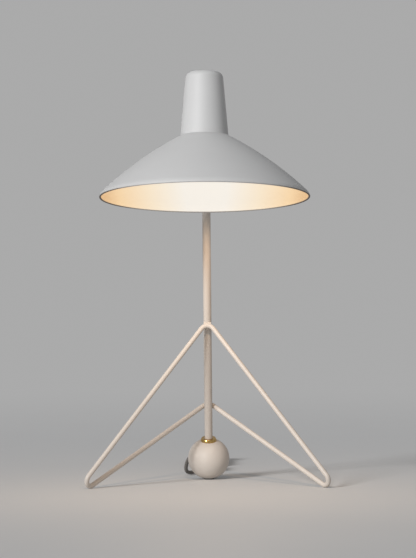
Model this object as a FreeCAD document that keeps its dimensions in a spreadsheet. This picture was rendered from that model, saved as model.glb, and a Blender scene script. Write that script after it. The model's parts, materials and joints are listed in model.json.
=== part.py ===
import FreeCAD, Part

# A tripod table lamp: a spun shade with a closed neck, hung by a hand-tightened knuckle on a
# leaning tube that stands in a heavy ball, and a bent wire loop that makes the two front feet.
#
# Frame: the origin is where the ball's pad rests on the table, +X is the lamp's right seen from
# the front, -Y is the way that the shade and the two wire feet face, and +Z is up. Millimetres.

import math
import os
import re

import Sketcher

Vector = FreeCAD.Vector
Placement = FreeCAD.Placement
Rotation = FreeCAD.Rotation

X_AXIS = Vector(1, 0, 0)
Y_AXIS = Vector(0, 1, 0)
Z_AXIS = Vector(0, 0, 1)
ORIGIN = Vector(0, 0, 0)

# ---------------------------------------------------------------- driving dimensions

SIZES = {
    # the ball that is the rear foot
    "ball_dia": 52.0,
    "pad_dia": 13.0,
    "pad_thick": 1.0,
    "chamber_dia": 18.0,
    "collar_dia": 20.0,
    "collar_thick": 2.2,
    "collar_edge_high": 1.5,
    "collar_slope": 1.2,
    "grub_dia": 4.0,
    "grub_long": 8.0,
    "grub_from_centre": 17.0,
    "grub_socket_deep": 2.5,
    # the leaning stem
    "stem_dia": 10.0,
    "stem_wall": 1.0,
    "stem_lean": 18.3,
    "stem_foot": 9.5,
    "stem_bend": 34.0,
    "bore_clear": 0.05,
    # the bent wire loop
    "wire_dia": 6.0,
    "foot_corner_x": 166.5,
    "foot_corner_y": -155.0,
    "foot_bend": 8.5,
    "apex_bend": 9.0,
    "apex_high": 194.0,
    "apex_low": 94.5,
    "braze_dia": 7.0,
    "braze_long": 9.0,
    # the shade, measured up from its rim and out from its axis
    "rim_y": -245.0,
    "rim_z": 346.0,
    "shade_tilt": 6.6,
    "rim_dia": 245.0,
    "bead_dia": 2.2,
    "lip_in": 3.5,
    "lip_high": 6.5,
    "lip_round": 14.0,
    "brim_high": 73.0,
    "brim_crown": 420.0,
    "sheet_thick": 1.4,
    "spigot_high": 5.5,
    "spigot_clear": 0.6,
    "neck_base_dia": 56.0,
    "neck_top_dia": 44.4,
    "neck_high": 76.0,
    "neck_round": 8.0,
    "neck_dome": 0.8,
    # the knuckle behind the neck
    "pivot_back": 44.0,
    "pivot_high": 131.0,
    "knuckle_round": 6.0,
    "fork_wide": 15.0,
    "tongue_thick": 5.0,
    "washer_thick": 1.0,
    "washer_dia": 11.6,
    "face_clear": 0.05,
    "pin_dia": 5.0,
    "pin_clear": 0.05,
    "screw_head_dia": 9.0,
    "screw_head_high": 3.5,
    "screw_slot_wide": 1.2,
    "screw_slot_deep": 1.4,
    "screw_past_knob": 0.5,
    "nipple_dia": 8.0,
    "nipple_past_nut": 2.0,
    "wire_bore": 5.2,
    "flange_dia": 15.0,
    "flange_thick": 3.0,
    "slot_past_nose": 1.0,
    "saddle_thick": 2.4,
    "nut_across": 12.0,
    "nut_thick": 3.0,
    "knob_dia": 16.0,
    "knob_long": 9.0,
    "knob_gap": 0.25,
    "knob_hub_dia": 11.2,
    "knob_hub_long": 1.6,
    "knob_edge": 0.8,
    "knob_dish_dia": 9.6,
    "knob_dish_deep": 0.6,
    "flute_dia": 1.8,
    "flute_count": 20,
    "flute_out": 0.3,
    "tongue_neck_long": 1.3,
    "tongue_web_wide": 10.0,
    "eye_collar_dia": 12.0,
    "eye_collar_long": 3.6,
    "eye_spigot_long": 7.0,
    "eye_bore_in_collar": 1.5,
    # the lampholder and the bulb
    "strap_thick": 1.5,
    "strap_wide": 14.0,
    "strap_clear": 0.3,
    "strap_reach": 8.0,
    "strap_bend": 3.0,
    "holder_top": 119.5,
    "holder_dia": 26.0,
    "holder_cap_high": 16.0,
    "holder_body_high": 23.5,
    "holder_wall": 2.0,
    "holder_crown": 3.0,
    "holder_shoulder": 6.0,
    "holder_groove": 0.8,
    "holder_groove_long": 3.0,
    "holder_floor": 4.0,
    "holder_nipple_low": 6.0,
    "shell_bore": 13.8,
    "shell_wall": 0.7,
    "shell_set_in": 1.0,
    "contact_half": 4.5,
    "contact_wide": 4.0,
    "contact_thick": 0.4,
    "contact_nib_half": 1.5,
    "contact_nib": 1.0,
    "bulb_cap_dia": 13.6,
    "bulb_cap_long": 18.0,
    "bulb_cap_wall": 0.4,
    "bulb_cap_top_dia": 9.2,
    "bulb_skirt": 3.0,
    "bulb_shoulder": 2.0,
    "bulb_thread_turns": 5,
    "bulb_thread_deep": 0.5,
    "bulb_tip_dia": 8.8,
    "bulb_tip_high": 1.6,
    "bulb_tip_edge": 0.4,
    "bulb_dia": 45.0,
    "bulb_long": 75.0,
    "globe_turn": 36.9,
    "bulb_throat": 3.0,
    "glass_wall": 1.0,
    # the lead
    "lead_dia": 4.8,
    "core_dia": 4.0,
    "neck_lead_bend": 5.0,
    "chamber_bend": 6.0,
    "inner_lead_short": 1.0,
    "gland_dia": 8.0,
    "gland_flange_dia": 10.0,
    "gland_tip_dia": 6.2,
    "gland_inside": 8.0,
    "gland_flange_thick": 1.6,
    "gland_outside": 12.5,
    "gland_face_deep": 0.6,
    "gland_face_clear": 0.2,
    "gland_edge": 0.5,
    # the switch on the lead
    "switch_x": -4.0,
    "switch_y": 106.0,
    "switch_long": 56.0,
    "switch_wide": 24.0,
    "switch_low": 0.2,
    "switch_split": 8.5,
    "switch_high": 16.2,
    "switch_corner": 8.0,
    "switch_edge": 2.5,
    "rocker_long": 16.0,
    "rocker_wide": 10.0,
    "rocker_pivot_z": 12.5,
    "rocker_crest": 4.6,
    "rocker_hollow": 25.6,
    "rocker_skirt": 0.8,
    "rocker_foot_half": 4.5,
    "rocker_foot_deep": 2.4,
    "rocker_well_long": 19.0,
    "rocker_tilt": 7.0,
    "rocker_gap": 0.3,
    "rocker_pin_dia": 2.0,
    "rocker_pin_long": 1.2,
    "bearing_end": 0.2,
    "case_screw_dia": 5.0,
    "case_screw_deep": 0.6,
    "case_screw_head": 2.0,
    "case_screw_long": 9.5,
    "case_screw_slot": 0.8,
    "case_screw_apart": 38.0,
    "core_clear": 0.1,
    # the hank that the rest of the lead is put away in, and the plug on it
    "hank_x": -7.0,
    "hank_front": 188.0,
    "hank_run": 76.0,
    "hank_fold": 14.4,
    "hank_columns": 2,
    "hank_layers": 3,
    "hank_low": 0.9,
    "tie_y": 266.0,
    "tie_wide": 12.0,
    "tie_thick": 0.8,
    "relief_y": 245.0,
    "relief_long": 20.0,
    "relief_tip_dia": 5.8,
    "relief_root_dia": 9.0,
    "relief_root_long": 3.0,
    "relief_edge": 0.4,
    "plug_long": 34.0,
    "plug_wide": 35.0,
    "plug_neck_wide": 16.0,
    "plug_thick": 13.6,
    "plug_edge": 3.0,
    "plug_shoulder": 3.0,
    "plug_taper_from": 15.3,
    "plug_taper_to": 10.2,
    "plug_pin_dia": 4.0,
    "plug_pin_long": 19.0,
    "plug_pin_apart": 19.0,
}

# The lead leaves the ball level, to the left and rear.
EXIT_DIRECTION = Vector(-0.5, 0.866, 0).normalize()

# The free lead's route, by hand. First from the gland's tip into the front of the switch.
LEAD_ROUTE = [
    Vector(-24.6, 42.6, 25.5),
    Vector(-28.8, 50.2, 17.2),
    Vector(-30.5, 57.0, 8.0),
    Vector(-28.0, 65.5, 3.0),
    Vector(-20.5, 75.0, 2.7),
    Vector(-12.0, 84.5, 4.4),
    Vector(-6.2, 93.5, 7.6),
    Vector(-4.0, 102.0, 8.5),
    Vector(-4.0, 110.0, 8.5),
]

# From inside the back of the switch to the first turn of the hank.
MIDDLE_ROUTE = [
    Vector(-4.0, 158.0, 8.5),
    Vector(-4.0, 165.5, 8.5),
    Vector(-3.5, 172.9, 6.9),
    Vector(-1.4, 179.8, 4.6),
    Vector(2.0, 186.8, 3.5),
    Vector(5.6, 193.2, 3.3),
]

# From the last turn of the hank to the plug's relief.
PLUG_ROUTE = [
    Vector(7.4, 205.0, 17.75),
    Vector(7.2, 213.5, 18.0),
    Vector(3.6, 222.0, 19.5),
    Vector(-2.4, 229.5, 21.7),
    Vector(-6.4, 237.0, 22.9),
    Vector(-7.0, 245.0, 22.95),
]

# How far a cutting tool runs on past what it cuts, and how often the loop's corners are settled.
OVERSHOOT = 1.0
SETTLING_ROUNDS = 30

doc = FreeCAD.newDocument("tripod_lamp")
sheet = doc.addObject("Spreadsheet::Sheet", "sizes")
for row, (alias, value) in enumerate(SIZES.items(), start=1):
    sheet.set(f"A{row}", alias)
    sheet.set(f"B{row}", str(value))
    sheet.setAlias(f"B{row}", alias)
doc.recompute()

nodes = {}


def size(alias):
    return float(sheet.get(alias))


def bound(formula):
    """The formula with each sheet alias written the way that an expression names it."""

    def named(found):
        word = found.group()
        return "sizes." + word if word in SIZES else word

    return re.sub(r"[a-z_]+", named, formula)


def value_of(formula):
    found = sheet.evalExpression(bound(formula))
    return float(getattr(found, "Value", found))


def keep(label, thing):
    thing.Label = label
    nodes[label] = thing
    return thing


# ---------------------------------------------------------------- frames of the lamp

STEM_FRAME = Placement(Vector(0, 0, size("ball_dia") / 2), Rotation(X_AXIS, size("stem_lean")))
SHADE_FRAME = Placement(Vector(0, size("rim_y"), size("rim_z")), Rotation(X_AXIS, -size("shade_tilt")))
EXIT_FRAME = Placement(Vector(0, 0, size("ball_dia") / 2), Rotation(Z_AXIS, EXIT_DIRECTION))


def within(frame, place=ORIGIN, axis=Z_AXIS):
    """A placement in a frame, whose own Z axis points along the given axis of that frame."""
    return frame.multiply(Placement(place, Rotation(Z_AXIS, axis)))


# ---------------------------------------------------------------- ways of making a piece


def origin_plane(body, role):
    return next(f for f in body.Origin.OriginFeatures if f.Role == role)


def arc_through(start, end, radius, side):
    """A short arc between two points. Side 1 bulges to the left of the way from start to end."""
    chord = end - start
    half = chord.Length / 2
    rise = radius - math.sqrt(max(radius * radius - half * half, 0))
    left = Vector(-chord.y, chord.x, 0).normalize()
    return Part.Arc(start, (start + end) / 2 + left * rise * side, end)


def outline(body, role, corners, arcs=None):
    """A closed sketch. Corners are pairs of formulas, and arcs holds a radius and side by edge number."""
    arcs = arcs or {}
    sketch = body.newObject("Sketcher::SketchObject", body.Name + "_outline")
    sketch.AttachmentSupport = (origin_plane(body, role), [""])
    sketch.MapMode = "FlatFace"
    points = [Vector(value_of(u), value_of(v), 0) for u, v in corners]
    for i, start in enumerate(points):
        end = points[(i + 1) % len(points)]
        if i in arcs:
            sketch.addGeometry(arc_through(start, end, value_of(arcs[i][0]), arcs[i][1]))
        else:
            sketch.addGeometry(Part.LineSegment(start, end))

    def end_at(edge, point):
        gaps = {pos: (sketch.getPoint(edge, pos) - point).Length for pos in (1, 2)}
        return min(gaps, key=gaps.get)

    for i, point in enumerate(points):
        before = (i - 1) % len(points)
        here = end_at(i, point)
        sketch.addConstraint(Sketcher.Constraint("Coincident", before, end_at(before, point), i, here))
        for kind, axis, number, formula in (
            ("DistanceX", -2, point.x, corners[i][0]),
            ("DistanceY", -1, point.y, corners[i][1]),
        ):
            if formula == "0":
                sketch.addConstraint(Sketcher.Constraint("PointOnObject", i, here, axis))
            else:
                lock = sketch.addConstraint(Sketcher.Constraint(kind, i, here, number))
                sketch.setExpression(f"Constraints[{lock}]", bound(formula))
    for i, (radius, _) in arcs.items():
        lock = sketch.addConstraint(Sketcher.Constraint("Radius", i, value_of(radius)))
        sketch.setExpression(f"Constraints[{lock}]", bound(radius))
    return sketch


def turned(name, corners, arcs=None, frame=Placement()):
    """A body turned about its own Z axis from an outline of radius and height formulas."""
    body = doc.addObject("PartDesign::Body", name)
    sketch = outline(body, "XZ_Plane", corners, arcs)
    turn = body.newObject("PartDesign::Revolution", name + "_turn")
    turn.Profile = sketch
    turn.ReferenceAxis = (sketch, ["V_Axis"])
    turn.Angle = 360
    body.Placement = frame
    return body


def pressed(name, role, corners, thickness, arcs=None, frame=Placement()):
    """A body of even thickness, half of it on each side of the outline's plane."""
    body = doc.addObject("PartDesign::Body", name)
    sketch = outline(body, role, corners, arcs)
    pad = body.newObject("PartDesign::Pad", name + "_pad")
    pad.Profile = sketch
    pad.setExpression("Length", bound(thickness))
    pad.Midplane = True
    body.Placement = frame
    return body


def rod(name, radius, length, placement):
    thing = doc.addObject("Part::Cylinder", name)
    thing.setExpression("Radius", bound(radius))
    thing.setExpression("Height", bound(length))
    thing.Placement = placement
    return thing


def block(name, wide, deep, high, placement):
    """A box centred on its placement in its own X and Y, and standing on it in Z."""
    thing = doc.addObject("Part::Box", name)
    thing.setExpression("Length", bound(wide))
    thing.setExpression("Width", bound(deep))
    thing.setExpression("Height", bound(high))
    corner = Vector(-value_of(wide) / 2, -value_of(deep) / 2, 0)
    thing.Placement = placement.multiply(Placement(corner, Rotation()))
    return thing


def hexagon(name, across, length, placement):
    thing = doc.addObject("Part::Prism", name)
    thing.Polygon = 6
    thing.setExpression("Circumradius", bound(f"({across}) / sqrt(3)"))
    thing.setExpression("Height", bound(length))
    thing.Placement = placement
    return thing


def ball(name, radius, placement):
    thing = doc.addObject("Part::Sphere", name)
    thing.setExpression("Radius", bound(radius))
    thing.Placement = placement
    return thing


def joined(name, things):
    whole = doc.addObject("Part::MultiFuse", name)
    whole.Shapes = things
    whole.Refine = True
    return whole


def without(name, base, tools):
    cut = doc.addObject("Part::Cut", name)
    cut.Base = base
    cut.Tool = tools[0] if len(tools) == 1 else joined(name + "_tools", tools)
    return cut


def shared(name, first, second):
    both = doc.addObject("Part::Common", name)
    both.Base = first
    both.Tool = second
    return both


def group(name, things):
    pile = doc.addObject("Part::Compound", name)
    pile.Links = things
    return pile


def shaped(name, shape):
    thing = doc.addObject("Part::Feature", name)
    thing.Shape = shape
    return thing


def bent_round(points, radii, radius, closed=False):
    """A round bar along straight runs with an arc of the given radius at each bend."""
    count = len(points)
    bends = range(count) if closed else range(1, count - 1)
    ends = {}
    pieces = []
    for i in bends:
        before, here, after = points[i - 1], points[i], points[(i + 1) % count]
        way_in = (here - before).normalize()
        way_out = (after - here).normalize()
        turn = way_in.getAngle(way_out)
        setback = radii[i] * math.tan(turn / 2)
        ends[i] = (here - way_in * setback, here + way_out * setback)
        axis = way_in.cross(way_out).normalize()
        inward = axis.cross(way_in).normalize()
        centre = ends[i][0] + inward * radii[i]
        disc = Part.Face(Part.Wire(Part.makeCircle(radius, ends[i][0], way_in)))
        pieces.append(disc.revolve(centre, axis, math.degrees(turn)))
    for i in range(count if closed else count - 1):
        following = (i + 1) % count
        start = ends[i][1] if i in ends else points[i]
        end = ends[following][0] if following in ends else points[following]
        pieces.append(Part.makeCylinder(radius, (end - start).Length, start, end - start))
    return pieces[0].multiFuse(pieces[1:]).removeSplitter()


# ---------------------------------------------------------------- the shade


def shade_brim():
    """A spun dish: a long shallow crown, a turned-down lip with a rolled bead, and a short spigot."""
    slope = "atan((brim_high - lip_high) / (rim_dia / 2 - lip_in - neck_base_dia / 2))"
    inward = f"sheet_thick * sin({slope})"
    downward = f"sheet_thick * cos({slope})"
    spigot = "neck_base_dia / 2 - sheet_thick - spigot_clear"
    corners = [
        ("rim_dia / 2", "bead_dia / 2"),
        ("rim_dia / 2 - lip_in", "lip_high"),
        ("neck_base_dia / 2", "brim_high"),
        (spigot, "brim_high"),
        (spigot, "brim_high + spigot_high"),
        (f"{spigot} - sheet_thick", "brim_high + spigot_high"),
        (f"{spigot} - sheet_thick", f"brim_high - {downward}"),
        (f"neck_base_dia / 2 - {inward}", f"brim_high - {downward}"),
        (f"rim_dia / 2 - lip_in - {inward}", f"lip_high - {downward}"),
        ("rim_dia / 2 - bead_dia", "bead_dia / 2"),
        ("rim_dia / 2 - bead_dia / 2", "0"),
    ]
    arcs = {
        0: ("lip_round", -1),
        1: ("brim_crown", -1),
        7: ("brim_crown", 1),
        9: ("bead_dia / 2", -1),
        10: ("bead_dia / 2", -1),
    }
    keep("shade_brim", turned("brim", corners, arcs, SHADE_FRAME))


def neck_radius(height, inside=0.0):
    """The neck's outer radius at a height above the rim, less what is taken off inside."""
    low, high = size("brim_high"), size("brim_high") + size("neck_high") - size("neck_round")
    share = (height - low) / (high - low)
    return size("neck_base_dia") / 2 + share * (size("neck_top_dia") - size("neck_base_dia")) / 2 - inside


def neck_cone(name, inset):
    """The solid cone that fills the neck's straight wall, less an inset."""
    cone = doc.addObject("Part::Cone", name)
    cone.setExpression("Radius1", bound(f"neck_base_dia / 2 - {inset}"))
    cone.setExpression("Radius2", bound(f"neck_top_dia / 2 - {inset}"))
    cone.setExpression("Height", bound("neck_high - neck_round"))
    cone.Placement = within(SHADE_FRAME, Vector(0, 0, size("brim_high")))
    return cone


def shade_neck():
    """A closed tapering cup that stands on the brim, with one hole for the knuckle's nipple."""
    top = "brim_high + neck_high"
    flat = "neck_top_dia / 2 - neck_round"
    dome = f"(({flat}) ^ 2 + neck_dome ^ 2) / (2 * neck_dome)"
    corners = [
        ("neck_base_dia / 2", "brim_high"),
        ("neck_top_dia / 2", f"{top} - neck_round"),
        (flat, f"{top} - neck_dome"),
        ("0", top),
        ("0", f"{top} - sheet_thick"),
        (flat, f"{top} - neck_dome - sheet_thick"),
        ("neck_top_dia / 2 - sheet_thick", f"{top} - neck_round"),
        ("neck_base_dia / 2 - sheet_thick", "brim_high"),
    ]
    arcs = {
        1: ("neck_round", -1),
        2: (dome, -1),
        4: (dome, 1),
        5: ("neck_round - sheet_thick", 1),
    }
    cup = turned("neck_cup", corners, arcs, SHADE_FRAME)
    hole = rod("neck_hole", "nipple_dia / 2 + bore_clear", "neck_base_dia / 2", on_knuckle_line(0))
    keep("shade_neck", without("neck", cup, [hole]))


# ---------------------------------------------------------------- the knuckle


def on_knuckle_line(back):
    """A placement on the level line through the pivot, that far behind the shade's axis."""
    return within(SHADE_FRAME, Vector(0, back, size("pivot_high")), Y_AXIS)


def across_pivot(side):
    """A placement on the pivot's own axis, that far to the right of the lamp's middle."""
    return within(SHADE_FRAME, Vector(side, size("pivot_back"), size("pivot_high")), X_AXIS)


FLANGE_START = neck_radius(size("pivot_high")) + size("saddle_thick")
# The strap inside the neck stands as far back as its upper corners let it.
NECK_SLOPE = "(neck_base_dia - neck_top_dia) / 2 / (neck_high - neck_round)"
NECK_AT_STRAP = (
    "(neck_base_dia / 2 - sheet_thick - (pivot_high + strap_wide / 2 - brim_high) * " + NECK_SLOPE + ")"
)
STRAP_BACK = f"(sqrt({NECK_AT_STRAP} ^ 2 - (strap_wide / 2) ^ 2) - strap_clear)"
STRAP_FRONT = f"({STRAP_BACK} - strap_thick)"
NIPPLE_TIP = value_of(f"{STRAP_FRONT} - nut_thick - nipple_past_nut")
SLOT_END = size("pivot_back") - size("knuckle_round") - size("slot_past_nose")
HALF_SLOT = "tongue_thick / 2 + washer_thick + face_clear"


def saddle_washers():
    """Two washers that fill the space between the round neck and the flat faces that clamp it."""
    bore = "nipple_dia / 2 + bore_clear"
    start = size("neck_top_dia") / 4
    outer = rod("outer_blank", "flange_dia / 2", str(FLANGE_START - start), on_knuckle_line(start))
    outer_bore = rod("outer_bore", bore, "neck_base_dia", on_knuckle_line(0))
    outer_tools = [neck_cone("neck_outside", "0"), outer_bore]
    inner = rod("inner_blank", "nut_across / 2", "neck_base_dia / 2", on_knuckle_line(value_of(STRAP_BACK)))
    inner_core = shared("inner_core", inner, neck_cone("neck_inside", "sheet_thick"))
    inner_bore = rod("inner_bore", bore, "neck_base_dia", on_knuckle_line(0))
    pair = [without("outer_saddle", outer, outer_tools), without("inner_saddle", inner_core, [inner_bore])]
    keep("saddle_washers", group("saddles", pair))


def pivot_fork():
    """A turned and milled fork: two ears, a flange, and a hollow nipple that goes into the neck."""
    reach = size("pivot_back") - FLANGE_START
    nipple_long = str(FLANGE_START - NIPPLE_TIP)
    nipple = rod("fork_nipple", "nipple_dia / 2", nipple_long, on_knuckle_line(NIPPLE_TIP))
    flange = rod("fork_flange", "flange_dia / 2", "flange_thick", on_knuckle_line(FLANGE_START))
    ears = block("fork_ears", "fork_wide", "2 * knuckle_round", str(reach), on_knuckle_line(FLANGE_START))
    nose = rod("fork_nose", "knuckle_round", "fork_wide", across_pivot(-size("fork_wide") / 2))
    slot_long = str(size("pivot_back") + 2 * size("knuckle_round") - SLOT_END)
    slot_place = on_knuckle_line(SLOT_END)
    slot = block("fork_slot", f"2 * ({HALF_SLOT})", "4 * knuckle_round", slot_long, slot_place)
    pin_place = across_pivot(-size("fork_wide"))
    pin_hole = rod("fork_pin_hole", "pin_dia / 2 + pin_clear / 2", "2 * fork_wide", pin_place)
    wire_place = on_knuckle_line(-size("pivot_back"))
    wire_hole = rod("fork_wire_hole", "wire_bore / 2", "2 * pivot_back", wire_place)
    solid = joined("fork_solid", [nipple, flange, ears, nose])
    keep("pivot_fork", without("fork", solid, [slot, pin_hole, wire_hole]))


def fork_nut():
    place = on_knuckle_line(value_of(f"{STRAP_FRONT} - nut_thick"))
    nut = hexagon("fork_nut_blank", "nut_across", "nut_thick", place)
    thread = rod("fork_nut_thread", "nipple_dia / 2", "pivot_back", on_knuckle_line(0))
    keep("fork_nut", without("fork_nut_body", nut, [thread]))


def friction_washers():
    """One fibre washer on each side of the tongue."""
    pair = []
    bore = "pin_dia / 2 + pin_clear / 2"
    starts = {"left": -value_of(HALF_SLOT), "right": value_of("tongue_thick / 2 + face_clear")}
    for side, start in starts.items():
        disc = rod(side + "_washer", "washer_dia / 2", "washer_thick", across_pivot(start))
        hole = rod(side + "_washer_hole", bore, "fork_wide", across_pivot(start - OVERSHOOT))
        pair.append(without(side + "_washer_ring", disc, [hole]))
    keep("friction_washers", group("washers", pair))


def pivot_screw():
    """A cheese-head screw through both ears and the tongue, with its thread in the knob."""
    half = size("fork_wide") / 2
    end = half + size("knob_gap") + size("knob_long") + size("screw_past_knob")
    head_place = across_pivot(-half - size("screw_head_high"))
    shank = rod("screw_shank", "pin_dia / 2", str(half + end), across_pivot(-half))
    head = rod("screw_head", "screw_head_dia / 2", "screw_head_high", head_place)
    slot = block("screw_slot", "screw_slot_wide", "2 * screw_head_dia", "screw_slot_deep", head_place)
    keep("pivot_screw", without("screw", joined("screw_solid", [shank, head]), [slot]))


def pivot_knob():
    """A fluted thumb nut with a turned grip, a chamfer at each end and a shallow dished face."""
    bore = "pin_dia / 2 + pin_clear"
    corners = [
        (bore, "0"),
        ("knob_hub_dia / 2", "0"),
        ("knob_hub_dia / 2", "knob_hub_long"),
        ("knob_dia / 2 - knob_edge", "knob_hub_long"),
        ("knob_dia / 2", "knob_hub_long + knob_edge"),
        ("knob_dia / 2", "knob_long - knob_edge"),
        ("knob_dia / 2 - knob_edge", "knob_long"),
        ("knob_dish_dia / 2 + knob_dish_deep", "knob_long"),
        ("knob_dish_dia / 2", "knob_long - knob_dish_deep"),
        (bore, "knob_long - knob_dish_deep"),
    ]
    place = across_pivot(size("fork_wide") / 2 + size("knob_gap"))
    body = turned("knob", corners, None, place)
    doc.recompute()
    sketch = body.newObject("Sketcher::SketchObject", "flute_outline")
    sketch.AttachmentSupport = (origin_plane(body, "XY_Plane"), [""])
    sketch.MapMode = "FlatFace"
    out, radius = "knob_dia / 2 + flute_out", "flute_dia / 2"
    sketch.addGeometry(Part.Circle(Vector(value_of(out), 0, 0), Z_AXIS, value_of(radius)))
    sketch.addConstraint(Sketcher.Constraint("PointOnObject", 0, 3, -1))
    lock = sketch.addConstraint(Sketcher.Constraint("DistanceX", 0, 3, value_of(out)))
    sketch.setExpression(f"Constraints[{lock}]", bound(out))
    lock = sketch.addConstraint(Sketcher.Constraint("Radius", 0, value_of(radius)))
    sketch.setExpression(f"Constraints[{lock}]", bound(radius))
    flute = body.newObject("PartDesign::Pocket", "flute")
    flute.Profile = sketch
    flute.Type = "ThroughAll"
    flute.Reversed = True
    doc.recompute()
    ring = body.newObject("PartDesign::PolarPattern", "flutes")
    ring.Originals = [flute]
    ring.Axis = (sketch, ["N_Axis"])
    ring.Angle = 360
    ring.setExpression("Occurrences", bound("flute_count"))
    body.Tip = ring
    keep("pivot_knob", body)


def stem_eye():
    """The tongue that the fork grips, on a collar and a hollow spigot that plugs the stem's end."""
    back = size("pivot_back")
    collar_start = back + size("knuckle_round") + size("tongue_neck_long")
    spigot_start = collar_start + size("eye_collar_long")
    disc = rod("tongue_disc", "knuckle_round", "tongue_thick", across_pivot(-size("tongue_thick") / 2))
    web_long = str(collar_start - back + OVERSHOOT)
    web = block("tongue_web", "tongue_thick", "tongue_web_wide", web_long, on_knuckle_line(back))
    collar = rod("eye_collar", "eye_collar_dia / 2", "eye_collar_long", on_knuckle_line(collar_start))
    spigot_place = on_knuckle_line(spigot_start)
    spigot = rod("eye_spigot", "stem_dia / 2 - stem_wall", "eye_spigot_long", spigot_place)
    pin_place = across_pivot(-size("fork_wide"))
    pin_hole = rod("eye_pin_hole", "pin_dia / 2 + pin_clear", "2 * fork_wide", pin_place)
    wire_place = on_knuckle_line(spigot_start - size("eye_bore_in_collar"))
    wire_hole = rod("eye_wire_hole", "wire_bore / 2", "2 * eye_spigot_long", wire_place)
    solid = joined("eye_solid", [disc, web, collar, spigot])
    keep("stem_eye", without("eye", solid, [pin_hole, wire_hole]))
    return spigot_start


# ---------------------------------------------------------------- the stem, the loop and the ball


def stem_route(top_back):
    """The stem's line: up its lean from the ball, then a bend that points it at the neck."""
    start = STEM_FRAME.multVec(Vector(0, 0, size("stem_foot")))
    top = SHADE_FRAME.multVec(Vector(0, top_back, size("pivot_high")))
    up = STEM_FRAME.Rotation.multVec(Z_AXIS)
    back = SHADE_FRAME.Rotation.multVec(Y_AXIS)
    # the corner lies on both lines: start + a * up = top + b * back, solved in Y and Z
    gap = top - start
    spread = up.y * back.z - up.z * back.y
    along = (gap.y * back.z - gap.z * back.y) / spread
    return [start, start + up * along, top]


def stem_tube(route):
    bends = {1: size("stem_bend")}
    outside = bent_round(route, bends, size("stem_dia") / 2)
    start = STEM_FRAME.multVec(Vector(0, 0, size("stem_foot") - OVERSHOOT))
    end = route[2] + (route[2] - route[1]).normalize() * OVERSHOOT
    inside = bent_round([start, route[1], end], bends, size("stem_dia") / 2 - size("stem_wall"))
    keep("stem_tube", shaped("stem", outside.cut(inside)))


def loop_corners():
    """The wire's four corners, with the tops touching the stem and the feet's lowest points on the table."""
    lean = math.radians(size("stem_lean"))
    reach = (size("stem_dia") + size("wire_dia")) / 2
    ball_centre = size("ball_dia") / 2
    apexes = []
    for height, side in ((size("apex_high"), -1), (size("apex_low"), 1)):
        along = (height - ball_centre - side * reach * math.sin(lean)) / math.cos(lean)
        apexes.append(STEM_FRAME.multVec(Vector(0, side * reach, along)))
    foot = Vector(size("foot_corner_x"), size("foot_corner_y"), -size("foot_bend"))
    corners = list(apexes)
    for _ in range(SETTLING_ROUNDS):
        for i, apex in enumerate(apexes):
            run = (foot - corners[i]).normalize()
            inward = (run + Vector(-run.x, run.y, run.z)).normalize()
            corners[i] = apex - inward * size("apex_bend") * (1 / math.sin(run.getAngle(inward)) - 1)
        first = (corners[0] - foot).normalize()
        second = (corners[1] - foot).normalize()
        middle = (first + second).normalize()
        normal = first.cross(second).normalize()
        half = first.getAngle(second) / 2
        centre_rise = size("foot_bend") / math.sin(half) * middle.z
        drop = size("foot_bend") * math.sqrt(1 - normal.z ** 2)
        foot.z = size("wire_dia") / 2 + drop - centre_rise
    upper, lower = corners
    return [upper, foot, lower, Vector(-foot.x, foot.y, foot.z)], apexes


def leg_loop(corners):
    """One closed loop of bent wire: a top bend before the stem, a low bend behind it, and two feet."""
    apex, foot = size("apex_bend"), size("foot_bend")
    radii = {0: apex, 1: foot, 2: apex, 3: foot}
    wire = bent_round(corners, radii, size("wire_dia") / 2, closed=True)
    keep("leg_loop", shaped("loop", wire))
    return wire


def braze_joints(apexes, wire):
    """Small fillets of braze in the corners where the wire's two bends cross the stem."""
    stem = nodes["stem_tube"].Shape
    bore = Part.makeCylinder(
        size("stem_dia") / 2, size("apex_high") * 2, STEM_FRAME.Base, STEM_FRAME.Rotation.multVec(Z_AXIS)
    )
    blobs = []
    for apex, side in zip(apexes, (1, -1)):
        centre = apex + STEM_FRAME.Rotation.multVec(Y_AXIS) * (size("wire_dia") / 2 * side)
        start = centre - X_AXIS * (size("braze_long") / 2)
        blob = Part.makeCylinder(size("braze_dia") / 2, size("braze_long"), start, X_AXIS)
        blobs.append(blob.cut(bore).cut(wire).cut(stem))
    keep("braze_joints", shaped("braze", Part.makeCompound([s for b in blobs for s in b.Solids])))


def ball_foot():
    """The heavy ball, bored for the stem, the lead and its gland, with a small flat for the pad."""
    whole = ball("ball_solid", "ball_dia / 2", within(STEM_FRAME))
    below = Placement(Vector(0, 0, size("pad_thick") - size("ball_dia")), Rotation())
    flat = block("ball_flat", "ball_dia", "ball_dia", "ball_dia", below)
    chamber = ball("ball_chamber", "chamber_dia / 2", within(STEM_FRAME))
    seat = rod("stem_seat", "stem_dia / 2", "ball_dia", within(STEM_FRAME, Vector(0, 0, size("stem_foot"))))
    throat = rod("stem_throat", "stem_dia / 2 - stem_wall", "stem_foot", within(STEM_FRAME))
    lead_hole = rod("lead_hole", "wire_bore / 2", "ball_dia", within(EXIT_FRAME))
    gland_at = size("ball_dia") / 2 - size("gland_inside")
    gland_hole = rod("gland_hole", "gland_dia / 2", "ball_dia", within(EXIT_FRAME, Vector(0, 0, gland_at)))
    face_at = within(EXIT_FRAME, Vector(0, 0, size("ball_dia") / 2 - size("gland_face_deep")))
    gland_face = rod("gland_face", "gland_flange_dia / 2 + gland_face_clear", "ball_dia", face_at)
    grub_hole = rod("grub_hole", "grub_dia / 2", "ball_dia", grub_place())
    tools = [flat, chamber, seat, throat, lead_hole, gland_hole, gland_face, grub_hole]
    keep("ball_foot", without("ball", whole, tools))


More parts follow.
